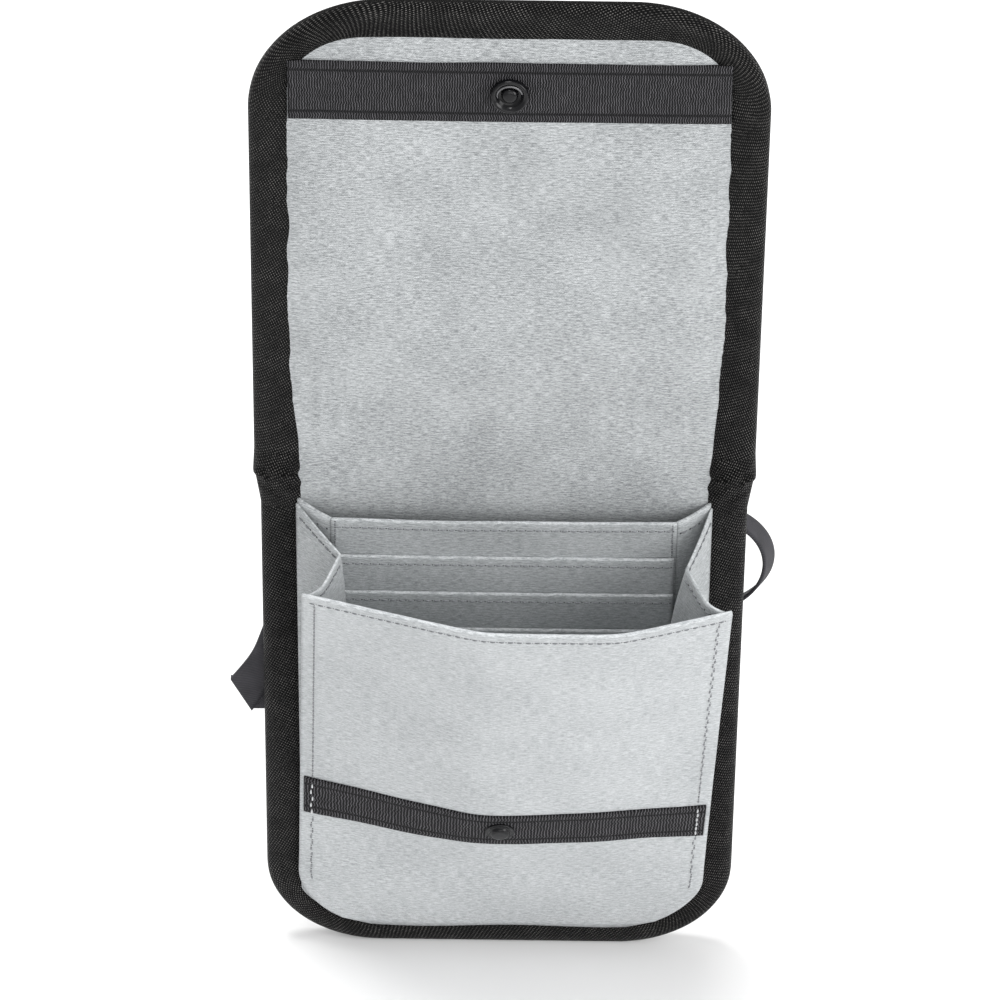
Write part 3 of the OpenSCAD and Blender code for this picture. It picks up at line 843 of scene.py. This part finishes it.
def build_panels():
    """Inner and outer faces of the body and the flap. Each reaches to the middle of the spine."""
    panels = (
        ("back_lining_cloth", 0.0, BODY_HALF, LINING_Y, 0.0, 3, ("back_lining", "spine_lining"), bend_low),
        ("back_shell_cloth", 0.0, BODY_HALF, SHELL_Y, -0.9, 5, ("back_shell", "spine_shell"), bend_low),
        ("flap_lining_cloth", TIP_Z, FLAP_HALF, LINING_Y, 0.9, 7, ("flap_lining",), bend_high),
        ("flap_shell_cloth", TIP_Z, FLAP_HALF, SHELL_Y, -1.2, 9, ("flap_shell",), bend_high),
    )
    for name, tip, half, y, crown, seed, nodes, bend_piece in panels:
        inside = y < 0
        material, slot = (LINING, "lining_fabric") if inside else (SHELL, "shell_fabric")
        start = FOLD_MID_Z + (0.3 if tip < FOLD_MID_Z else -0.3)
        inward = 0.2 if inside else -0.3
        sheet = padded_sheet(name, start, tip, half, y + inward, crown, material, seed)
        if crown:
            settle_cloth(sheet, crown)
        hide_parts(*nodes)
        bend_piece(sheet)


# ---------------------------------------------------------------- front pocket

def front_half(run):
    """Half width of the front panel at a distance run up from its seam."""
    drop = np.maximum(POCKET_R - run, 0)
    low = FRONT_LOW_HALF - POCKET_R + np.sqrt(np.maximum(POCKET_R ** 2 - drop ** 2, 0))
    grow = (FRONT_TOP_HALF - FRONT_LOW_HALF) * np.clip((run - POCKET_R) / (FRONT_L - POCKET_R), 0, 1)
    return low + grow


def soft_step(distance, softness=4.0):
    """Zero before a crease and rising straight after it, rounded at the crease."""
    return (distance + np.sqrt(distance ** 2 + softness ** 2)) / 2


def front_point(u, run):
    """A point of the front panel's cloth: u is -1 to 1 across, run is the distance up from the seam.

    Its middle bows out. On each side it bends at a soft crease and slopes back to the gusset.
    """
    u, run = np.broadcast_arrays(np.asarray(u, float), np.asarray(run, float))
    t = np.clip(run / FRONT_L, 0, 1.05)
    half = front_half(run)
    x = u * half
    middle = run * math.sin(OPEN_SLOPE) + BOW * t ** 1.1
    left = np.maximum(LEFT_OUT * t ** 2.2 - LEFT_BACK, 0.2)
    right = RIGHT_OUT * t ** 1.27
    left_share = soft_step(LEFT_CREASE_X - x) / soft_step(LEFT_CREASE_X + half)
    crease = RIGHT_CREASE_X * t
    right_share = soft_step(x - crease) / soft_step(half - crease)
    puff = PUFF * np.sin(np.clip(run / 26.0, 0, 1) * math.pi) ** 0.6
    y = HINGE_Y - middle + (middle - left) * left_share + (middle - right) * right_share
    z = SEAM_Z + run * math.cos(OPEN_SLOPE) - SAG * (1 - left_share - right_share) * t ** 3
    overhang = BOTTOM_DROP + 0.9 * smooth_noise(x, z * 0.0, 71, 45.0)
    z = z - overhang * np.clip(1 - run / 12.0, 0, 1) ** 2
    ripple = 0.45 * smooth_noise(x, z, 21, 38.0) * np.sin(np.clip(t, 0, 1) * math.pi)
    y = y - puff * (1 - np.abs(u) ** 8) - ripple
    return np.stack([x + SKEW * t, y, z], axis=-1)


def surface_normal(fn, u, v, du=0.01, dv=0.5):
    """Unit normal of a surface, on the side that faces -Y."""
    along = fn(u + du, v) - fn(u - du, v)
    up = fn(u, v + dv) - fn(u, v - dv)
    normal = np.cross(along, up)
    normal /= np.linalg.norm(normal, axis=-1, keepdims=True)
    return np.where(normal[..., 1:2] > 0, -normal, normal)


def hem_rows(length, radius, turn):
    """Rows up a sheet, over its folded top edge and down inside, as (run, offset along the normal)."""
    top = length - radius
    rows = [(run, radius) for run in np.linspace(0, top, max(8, int(length / ROW_PITCH)))]
    rows += [(top + radius * math.sin(a), radius * math.cos(a)) for a in np.linspace(0.4, math.pi, 6)]
    rows += [(run, -radius) for run in np.linspace(top, length - turn, 5)[1:]]
    return rows


def hemmed_sheet(name, fn, length, u_values, material, uv_half, radius=0.4, turn=HEM_H):
    """A sheet on the surface fn(u, run) with a folded hem along its top."""
    rows = hem_rows(length, radius, turn)
    points, uv = [], []
    ran = 0.0
    for k, (run, off) in enumerate(rows):
        base = fn(u_values, np.full_like(u_values, run))
        normal = surface_normal(fn, u_values, np.full_like(u_values, run))
        points.append(base + normal * off)
        if k:
            ran += math.hypot(run - rows[k - 1][0], off - rows[k - 1][1])
        uv.append(np.stack([u_values * uv_half, np.full_like(u_values, ran)], axis=-1))
    return cloth_sheet(name, np.array(points), np.array(uv), material)


def front_squash(piece):
    """Gives a piece of the front panel a mesh of its own."""
    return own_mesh(piece)


def on_front(piece, slot, *nodes):
    """Puts a piece on the front panel and gives it a mesh of its own."""
    return front_squash(put(piece, slot, "front", *nodes))


def surface_line(fn, u_values, run_values, lift):
    """A path on the surface fn(u, run), lifted off it, with its normals."""
    u_values, run_values = np.broadcast_arrays(np.asarray(u_values, float), np.asarray(run_values, float))
    normals = surface_normal(fn, u_values, run_values)
    return fn(u_values, run_values) + normals * lift, normals


def front_line(u_values, run_values, lift):
    """A path on the front panel, lifted off its cloth, with its normals."""
    return surface_line(front_point, u_values, run_values, lift)


def build_front():
    """The front pocket's outer panel with its tape and stitches."""
    u = np.linspace(-1, 1, 121)
    panel = hemmed_sheet("front_panel_cloth", front_point, FRONT_L, u, SHELL, 54.0)
    on_front(panel, "shell_fabric", "front_panel")
    build_front_tape()
    hem_u = np.linspace(-0.97, 0.97, 81)
    path, normals = front_line(hem_u, FRONT_L - FRONT_HEM_STITCH_DOWN, FRONT_STITCH_LIFT)
    on_front(stitch_row("front_hem_stitch", path, normals, PALE_THREAD, NEEDLE_HOLE_SHADE), "shell_fabric")
    for word, side in SIDES:
        build_side_stitches(word, side)


def build_front_tape():
    """The tape across the front panel. Its left end is sewn on a little higher."""
    u = np.linspace(-0.978, 0.978, 121)
    runs = np.linspace(-FRONT_TAPE_HALF, FRONT_TAPE_HALF, 15)
    rise = 1.7 * np.clip(-u - 0.16, 0, 1) ** 1.5
    rows = [front_line(u, STUD_RUN + run + rise, 0.85)[0] for run in runs]
    uv = [np.stack([u * 52.0, np.full_like(u, run)], axis=-1) for run in runs]
    tape = cloth_sheet("front_tape_cloth", np.array(rows), np.array(uv), FRONT_TAPE, 0.7)
    on_front(tape, "grosgrain_tape", "front_tape")


def build_side_stitches(word, side):
    """Stitches up one side of the front panel. They cross the tape on top of it, in a paler thread."""
    run = np.linspace(16.0, FRONT_L - 4.0, 90)
    u = side * (1 - SIDE_STITCH_IN / front_half(run))
    path, normals = front_line(u, run, FRONT_STITCH_LIFT)
    parts = (
        ("low", run < STUD_RUN - FRONT_TAPE_HALF, 0.0, PALE_THREAD),
        ("tape", np.abs(run - STUD_RUN) < FRONT_TAPE_HALF, 0.65, WHITE_THREAD),
        ("high", run > STUD_RUN + FRONT_TAPE_HALF, 0.0, PALE_THREAD),
    )
    for part, keep, lift, thread in parts:
        name = "front_side_stitch_" + word + "_" + part
        raised = path[keep] + normals[keep] * lift
        on_front(stitch_row(name, raised, normals[keep], thread, NEEDLE_HOLE_SHADE, 0.25), "shell_fabric")


# ---------------------------------------------------------------- organizer

def organizer_surface(forward, half, low, seed):
    """Surface of a sheet on the organizer, forward millimetres in front of its panel."""
    def fn(u, run):
        u, run = np.broadcast_arrays(np.asarray(u, float), np.asarray(run, float))
        along = low + run
        x = u * half
        wave = 0.25 * smooth_noise(x, along, seed, 60.0)
        bulge = 0.5 * (1 - u ** 2) * np.clip(run / 30.0, 0, 1)
        off = forward + (wave + bulge) * (0.4 if forward else 1.0)
        y = ORG_SEAM[1] - along * math.sin(ORG_SLOPE) - off * math.cos(ORG_SLOPE)
        z = ORG_SEAM[2] + along * math.cos(ORG_SLOPE) - off * math.sin(ORG_SLOPE)
        return np.stack([x, y, z], axis=-1)
    return fn


def sewn_on_organizer(name, fn, u_values, run_values):
    """A stitch row on one of the organizer's sheets."""
    path, normals = surface_line(fn, u_values, run_values, POCKET_STITCH_LIFT)
    put(stitch_row(name, path, normals, PALE_THREAD, NEEDLE_HOLE_SHADE), "pocket_fabric", "organizer")


def build_card_slot(name, u):
    """One of the stepped sheets, each a little in front of the one above it."""
    low, high = node_box(name)
    top = (high[2] - ORG_SEAM[2]) / math.cos(ORG_SLOPE)
    bottom = (low[2] - ORG_SEAM[2]) / math.cos(ORG_SLOPE)
    order = round((ORG_TOP_Z - high[2]) / SLOT_STEP)
    fn = organizer_surface(SLOT_FORWARD * order, high[0], bottom, 33 + order)
    sheet = hemmed_sheet(name + "_cloth", fn, top - bottom, u, POCKET, high[0], POCKET_HEM_R, SLOT_HEM_H)
    put(sheet, "pocket_fabric", "organizer", name)
    stitch_run = top - bottom - POCKET_HEM_STITCH_DOWN
    sewn_on_organizer(name + "_stitch", fn, np.linspace(-0.985, 0.985, 60), stitch_run)


def build_organizer():
    """The organizer's panel, its three stepped card slots and its two side wings."""
    fn = organizer_surface(0.0, ORG_HALF, 0.0, 31)
    u = np.linspace(-1, 1, 73)
    panel = hemmed_sheet("organizer_panel_cloth", fn, ORG_L, u, POCKET, ORG_HALF, POCKET_HEM_R)
    put(panel, "pocket_fabric", "organizer", "organizer_panel")
    stitch_run = ORG_L - POCKET_HEM_STITCH_DOWN
    sewn_on_organizer("organizer_hem_stitch", fn, np.linspace(-0.98, 0.98, 60), stitch_run)
    for word in ("upper", "middle", "lower"):
        build_card_slot("card_slot_" + word, u)
    for word, side in SIDES:
        run = np.linspace(30.0, ORG_L - 0.5, 70)
        sewn_on_organizer("organizer_side_stitch_" + word, fn, side * 0.975, run)
        wing = build_wing("organizer_wing_" + word, side, fn)
        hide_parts("wing_" + word)


def build_wing(name, side, crease_fn):
    """Cloth from the body's side seam to the organizer's crease."""
    seam_x = side * (GUSSET_SEAM_X + 0.6)
    seam_top = ORG_TOP_Z + 2.5
    t, s = spread(np.linspace(0, 1, 60), np.linspace(0, 1, 12))
    crease = crease_fn(np.full_like(t, side * 1.0), t * (ORG_L + 0.3))
    seam_z = ORG_SEAM[2] + t * (seam_top - ORG_SEAM[2])
    seam = np.stack([np.full_like(t, seam_x), np.full_like(t, LINING_Y - 0.4), seam_z], axis=-1)
    points = seam * (1 - s[..., None]) + crease * s[..., None]
    points[..., 1] -= 0.5 * np.sin(s * math.pi) * t
    uv = np.stack([s * 11.0 + side * 60, points[..., 2]], axis=-1)
    wing = cloth_sheet(name, points, uv, POCKET, 0.7)
    path = points[-3, 1:-1] - np.array([0.0, POCKET_STITCH_LIFT, 0.0])
    forward = np.tile((0.0, -1.0, 0.0), (len(path), 1))
    hem = stitch_row(name + "_stitch", path, forward, PALE_THREAD, NEEDLE_HOLE_SHADE)
    for piece in (wing, hem):
        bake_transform(piece)
    return wing


# ---------------------------------------------------------------- gussets

def gusset_lines(side, t):
    """Rear seam, fold and front edge of a gusset at a share t of its height."""
    run = GUSSET_LOW_RUN + t * (FRONT_L - GUSSET_LOW_RUN - 0.5)
    front = front_point(np.full_like(t, side * 0.985), run)
    seam_low = SEAM_Z + GUSSET_LOW_RUN
    seam_high = ORG_TOP_Z + 1.0
    x = side * np.minimum(GUSSET_SEAM_X + 1.0, front_half(run) + 1.5)
    seam = np.stack([x, np.full_like(t, HINGE_Y + 0.3), seam_low + t * (seam_high - seam_low)], axis=-1)
    inward, back, drop = GUSSET_FOLD[side]
    middle = (seam + front) / 2
    shape = t ** 1.1 + GUSSET_PINCH[side] * np.clip(1 - t, 0, 1) * t * 4
    offset = np.stack([side * inward * shape, -back * t, drop * t], axis=-1)
    fold = middle - offset
    return seam, fold, front


def build_gusset(word, side):
    """One folded cloth wall between the body's seam and the front panel's side."""
    rows, half_columns = 90, 18
    t = np.linspace(0, 1, rows)
    seam, fold, front = gusset_lines(side, t)
    s = np.linspace(0, 1, half_columns)[None, :, None] * np.ones((rows, 1, 1))
    rear = seam[:, None, :] * (1 - s) + fold[:, None, :] * s
    rear[..., 0] += side * 0.25 * np.sin(s[..., 0] * math.pi) * t[:, None]
    wall = fold[:, None, :] * (1 - s) + front[:, None, :] * s
    turned = 0.6 * s[..., 0] + 0.4 * s[..., 0] ** 9
    wall[..., 0] = fold[:, None, 0] * (1 - turned) + front[:, None, 0] * turned
    points = np.concatenate([rear, wall[:, 1:]], axis=1)
    across = np.linspace(0, 35.0, points.shape[1])[None, :] * np.ones((rows, 1))
    uv = np.stack([across + side * 90, points[..., 2]], axis=-1)
    piece = cloth_sheet("gusset_" + word + "_cloth", points, uv, POCKET, 0.55)
    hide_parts("gusset_" + word + "_rear", "gusset_" + word + "_front")
    pieces = [piece]
    for part, band in (("rear", rear), ("front", wall)):
        normals = np.cross(band[-3, 2:] - band[-3, :-2], band[-1, 1:-1] - band[-4, 1:-1])
        normals /= np.linalg.norm(normals, axis=1, keepdims=True)
        for face, sign in (("inner", 1), ("outer", -1)):
            name = "gusset_" + word + "_" + part + "_" + face + "_stitch"
            path = band[-3, 1:-1] + normals * sign * 0.4
            pieces.append(stitch_row(name, path, normals * sign, PALE_THREAD, NEEDLE_HOLE_SHADE))
    for item in pieces:
        put(item, "pocket_fabric", "back")
        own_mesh(item)


# ---------------------------------------------------------------- flap tape and snap

def build_flap_tape():
    """The wide tape across the flap, sewn in under its binding at both ends."""
    half = TAPE_HIGH[0] + 1.2
    middle = (TAPE_LOW[2] + TAPE_HIGH[2]) / 2
    z, x = spread(np.linspace(TAPE_LOW[2], TAPE_HIGH[2], 15), np.linspace(-half, half, 121))
    swell = 0.25 * (1 - (x / half) ** 2)
    y = np.full_like(x, TAPE_LOW[1] + 0.15) - swell + 0.08 * smooth_noise(x, z, 41, 30.0)
    points = np.stack([x, y, z], axis=-1)
    tape = cloth_sheet("flap_tape_cloth", points, np.stack([x, z - middle], axis=-1), FLAP_TAPE, 0.8)
    put(tape, "grosgrain_tape", "flap", "flap_tape")


def arc(cx, cy, radius, start, end, steps=6):
    """Points of an arc for a lathe profile, angles in degrees."""
    return [(cx + radius * math.cos(math.radians(a)), cy + radius * math.sin(math.radians(a)))
            for a in np.linspace(start, end, steps)]


def build_snaps():
    """Socket ring and post dome on the flap's tape, and the stud on the front panel's."""
    base = (0.0, SOCKET_HIGH[1] - 0.4, SNAP_Z)
    facing = (0.0, -math.cos(SNAP_TILT), math.sin(SNAP_TILT))
    profile = [(1.2, -1.2), (4.5, -1.2), (4.7, -0.2)]
    profile += arc(4.15, 1.75, 0.5, 0, 100)
    profile += [(3.75, 2.1), (3.3, 1.55), (2.9, 1.0), (2.6, 0.85), (1.2, 0.8)]
    socket = lathe("snap_socket_ring", profile, base, facing, SNAP)
    put(socket, "snap_plastic", "flap", "snap_socket")
    profile = [(0.4, 0.6), (2.1, 0.7)] + arc(0.9, 0.9, 1.2, 0, 90, 8) + [(0.1, 2.12)]
    put(lathe("snap_post_dome", profile, base, facing, SNAP), "snap_plastic", "flap")
    middle_u = -SKEW * STUD_RUN / FRONT_L / front_half(STUD_RUN)
    centre, normals = front_line(np.array([middle_u]), np.array([STUD_RUN]), 1.2)
    profile = [(0.5, 0.0), (3.9, 0.0)] + arc(3.65, 0.3, 0.3, -10, 100)
    profile += [(3.1, 0.45), (2.8, 0.65)] + arc(1.7, 0.7, 1.0, 5, 90, 9) + [(0.1, 1.75)]
    stud = lathe("snap_stud_nub", profile, centre[0], normals[0], SNAP)
    put(stud, "snap_plastic", "front", "snap_stud")


# ---------------------------------------------------------------- neck strap

def ribbon(name, rows):
    """Flat webbing from pairs of edge points, one pair for each row along its run."""
    rows = np.asarray(rows, float)
    across = np.linspace(0, 1, 7)[None, :, None]
    points = rows[:, None, 0, :] * (1 - across) + rows[:, None, 1, :] * across
    run = run_along(rows.mean(axis=1))
    uv = np.stack(spread(run, np.linspace(-WEB_HALF, WEB_HALF, 7)), axis=-1)
    return cloth_sheet(name, points, uv, STRAP, WEB_T)


def smooth_rows(rows, steps=8):
    """Rows of edge points run through a smooth curve."""
    rows = np.asarray(rows, float)
    padded = np.concatenate([rows[:1], rows, rows[-1:]])
    result = []
    for k in range(len(rows) - 1):
        a, b, c, d = padded[k:k + 4]
        for t in np.linspace(0, 1, steps, endpoint=False):
            result.append(0.5 * (2 * b + (c - a) * t + (2 * a - 5 * b + 4 * c - d) * t * t
                                 + (3 * b - a - 3 * c + d) * t ** 3))
    return np.array(result + [rows[-1]])


def upright(path, z):
    """Edge pairs for webbing that stands on edge along a path of (x, y) points at height z."""
    return [((x, y, z - WEB_HALF), (x, y, z + WEB_HALF)) for x, y in path]


def hanging(path, y):
    """Edge pairs, upper edge first, for webbing seen flat from behind: path holds its (x, z) middles."""
    return [((x, y, z + WEB_HALF), (x, y, z - WEB_HALF)) for x, z in path]


def strap_piece(piece, body="strap", *nodes):
    return put(piece, "strap_webbing", body, *nodes)


def build_strap():
    """The folded neck strap behind the body, with both of its ends sewn to the anchors."""
    low_z, mid_z, high_z = STRAP_LOW[2] + WEB_HALF, SLIDER_MID_Z, ANCHOR_LOW[2] - 29.0
    first_y = STRAP_LOW[1] + WEB_T / 2
    back_y = first_y + 0.95
    build_left_corner(low_z, first_y, back_y)
    for word, z in (("low", low_z), ("high", high_z)):
        strap_piece(ribbon("strap_bundle_" + word, upright(bundle_path(back_y), z)))
    outer_y = back_y + (PASSES - 1) * PASS_PITCH + 0.25
    reach = PASS_HALF + WEB_HALF
    path = [(x, outer_y + 0.12 * math.sin(x * 0.13)) for x in np.linspace(-reach, reach, 60)]
    strap_piece(ribbon("strap_middle_pass", upright(path, mid_z)))
    for word, x, z0, z1 in (("right", PASS_HALF, low_z, mid_z), ("left", -PASS_HALF, mid_z, high_z)):
        y = outer_y + 0.35
        heights = np.linspace(z0 - WEB_HALF, z1 + WEB_HALF, 16)
        rows = [((x - WEB_HALF, y, z), (x + WEB_HALF, y, z)) for z in heights]
        strap_piece(ribbon("strap_riser_" + word, rows))
    build_loop(high_z - 2.0, back_y)
    for word, _ in SIDES:
        build_anchor("strap_anchor_" + word)
    build_end_fold(mid_z)


def build_left_corner(low_z, first_y, back_y):
    """Webbing that comes down aslant from the left anchor, folds over at its tip and runs back."""
    tip = (STRAP_LOW[0], low_z + 7.0)
    heel = (STRAP_LOW[0] + 5.5, low_z - 5.0)
    edges = zip(CORNER_OUTER + [tip], CORNER_INNER + [heel])
    diagonal = [((a[0], first_y, a[1]), (b[0], first_y, b[1])) for a, b in edges]
    corner = ribbon("strap_left_corner", smooth_rows(diagonal))
    strap_piece(corner, "strap", "neck_strap")
    folded = [((tip[0], back_y, tip[1]), (heel[0], back_y, heel[1]))]
    folded += hanging([(x, low_z) for x in (-62.0, -54.0, -PASS_HALF)], back_y)
    strap_piece(ribbon("strap_left_return", folded))


def bundle_path(back_y):
    """Path of (x, y) points for webbing folded to and fro, with a tight turn at each end."""
    path = []
    for i in range(PASSES):
        y = back_y + i * PASS_PITCH
        turn = 1 if i % 2 == 0 else -1
        path += [(x, y + 0.15 * math.sin(x * 0.11 + i))
                 for x in np.linspace(-turn * PASS_HALF, turn * PASS_HALF, 40)]
        if i < PASSES - 1:
            radius = PASS_PITCH / 2
            path += [(turn * (PASS_HALF + radius * math.cos(a)), y + radius * (1 + math.sin(a)))
                     for a in np.linspace(-math.pi / 3, math.pi / 3, 5)]
    return path


def build_loop(high_z, back_y):
    """The loop beside the right edge: the webbing stands on edge, leaning more as it comes round."""
    top_z = ANCHOR_LOW[2] + 4.9
    low_z = high_z - 0.9
    centre_z = (top_z + low_z) / 2
    radius = (top_z - low_z) / 2
    centre_x = STRAP_HIGH[0] - radius - WEB_T / 2
    middle_y = (STRAP_LOW[1] + STRAP_HIGH[1]) / 2
    rows = [((ANCHOR_X, back_y, ANCHOR_LOW[2] + 5.5), (ANCHOR_X, back_y, ANCHOR_LOW[2] - 4.0))]
    for s in np.linspace(0, 1, 25):
        turn = math.pi * (0.5 - s)
        tilt = math.radians(LOOP_LEAN[0] + (LOOP_LEAN[1] - LOOP_LEAN[0]) * s)
        across = np.array((0.28 * math.sin(math.pi * s), math.cos(tilt), -math.sin(tilt)))
        across *= WEB_HALF / np.linalg.norm(across)
        middle = np.array((radius * math.cos(turn), 0.0, radius * math.sin(turn)))
        middle += np.array((centre_x, middle_y, centre_z))
        rows.append((middle - across, middle + across))
    rows += hanging([(PASS_HALF, high_z)], back_y)
    strap_piece(ribbon("strap_right_loop", smooth_rows(rows, 4)))


def build_anchor(name):
    """A short tab of webbing with a sewn box and one diagonal."""
    low, high = node_box(name)
    y = (low[1] + high[1]) / 2
    rows = [((low[0], y, z), (high[0], y, z)) for z in np.linspace(low[2], high[2], 14)]
    tab = ribbon(name + "_tab", rows)
    strap_piece(tab, "back", name)
    left, right = low[0] + 1.2, high[0] - 1.2
    bottom, top = low[2] + 7.5, high[2] - 1.5
    box = [(left, bottom), (right, bottom), (right, top), (left, top), (left, bottom), (right, top)]
    corners = np.array([(x, y + 0.55, z) for x, z in box])
    path = np.concatenate([np.linspace(a, b, 12) for a, b in zip(corners[:-1], corners[1:])])
    outward = np.tile((0.0, 1.0, 0.0), (len(path), 1))
    strap_piece(stitch_row(name + "_stitch", path, outward, DARK_THREAD), "back")


def build_end_fold(mid_z):
    """The strap's free end, folded over the slider's bar."""
    low, high = node_box("strap_end_loop")
    y0, y1 = low[1] + 0.45, high[1] + 0.3
    path = [(high[0], y0), (2.0, y0), (-1.2, y0), (-1.6, y0 + 0.5), (-1.6, y1 - 0.5), (-1.2, y1), (1.2, y1),
            (1.6, y1 - 0.5), (1.6, y0 + 1.0)]
    end = ribbon("strap_end_fold", smooth_rows(upright(path, mid_z), 4))
    strap_piece(end, "strap", "strap_end_loop")


def build_cad_finishes():
    """CAD nodes whose shape is right keep it and get a finish; the slider also gets softened edges."""
    finishes = {
        "back_core": FOAM, "flap_core": FOAM, "snap_cap": SNAP, "snap_spring": WIRE,
        "snap_stud_back": SNAP, "strap_slider": SLIDER,
    }
    for name, material in finishes.items():
        obj = frame["nodes"][name]
        obj.data.materials.clear()
        obj.data.materials.append(material)
    edges = frame["nodes"]["strap_slider"].modifiers.new("edges", "BEVEL")
    edges.width = 0.3 * MM
    edges.segments = 3
    edges.limit_method = "ANGLE"


# ---------------------------------------------------------------- stage, light and camera

def build_stage():
    """A pale paper floor under a white sky."""
    size = 6.0
    mesh = bpy.data.meshes.new("floor")
    corners = [(-size, -size, 0), (size, -size, 0), (size, size, 0), (-size, size, 0)]
    mesh.from_pydata(corners, [], [(0, 1, 2, 3)])
    floor = add_object("floor", mesh)
    n = Nodes("floor_paper")
    n.set(Base_Color=rgb(0.86, 0.86, 0.86), Roughness=0.9, Specular_IOR_Level=0.0)
    mesh.materials.append(n.material)
    world = bpy.data.worlds.new("studio")
    bpy.context.scene.world = world
    world.use_nodes = True
    world.node_tree.nodes["Background"].inputs["Color"].default_value = rgb(1.0, 1.0, 1.0)
    world.node_tree.nodes["Background"].inputs["Strength"].default_value = 0.62


def soft_light(name, location, target, size, power):
    """A square area light, turned to its target."""
    light = bpy.data.lights.new(name, "AREA")
    light.size = size
    light.energy = power
    obj = add_object(name, light)
    obj.location = location
    obj.rotation_mode = "QUATERNION"
    obj.rotation_quaternion = (Vector(target) - Vector(location)).to_track_quat("-Z", "Y")


def build_lights():
    middle = (0.0, 0.0, 0.17)
    soft_light("key", (-0.16, 0.1, 1.8), middle, 0.6, 27.0)
    soft_light("fill", (0.3, -1.7, 1.2), middle, 1.5, 11.0)
    soft_light("side", (1.4, -0.7, 0.9), middle, 1.0, 17.0)


def build_camera():
    """Looks down at 45 degrees from two metres, rolled a little as the pouch leans in the picture."""
    distance, elevation, roll = 2.0, math.radians(45), math.radians(0.75)
    aim = Vector((-0.0011, 0.0, 0.1702))
    back = Vector((0.0, -math.cos(elevation), math.sin(elevation)))
    camera = bpy.data.cameras.new("camera")
    camera.sensor_width = 36.0
    camera.lens = 276.5
    camera.clip_end = 50.0
    obj = add_object("camera", camera)
    obj.location = aim + back * distance
    obj.rotation_mode = "QUATERNION"
    obj.rotation_quaternion = Quaternion(back, roll) @ (-back).to_track_quat("-Z", "Y")
    bpy.context.scene.camera = obj
    bpy.context.scene.view_settings.view_transform = "Standard"


build_bindings()
build_panels()
build_front()
build_organizer()
for word, side in SIDES:
    build_gusset(word, side)
build_flap_tape()
build_snaps()
build_strap()
build_cad_finishes()
build_stage()
build_lights()
build_camera()
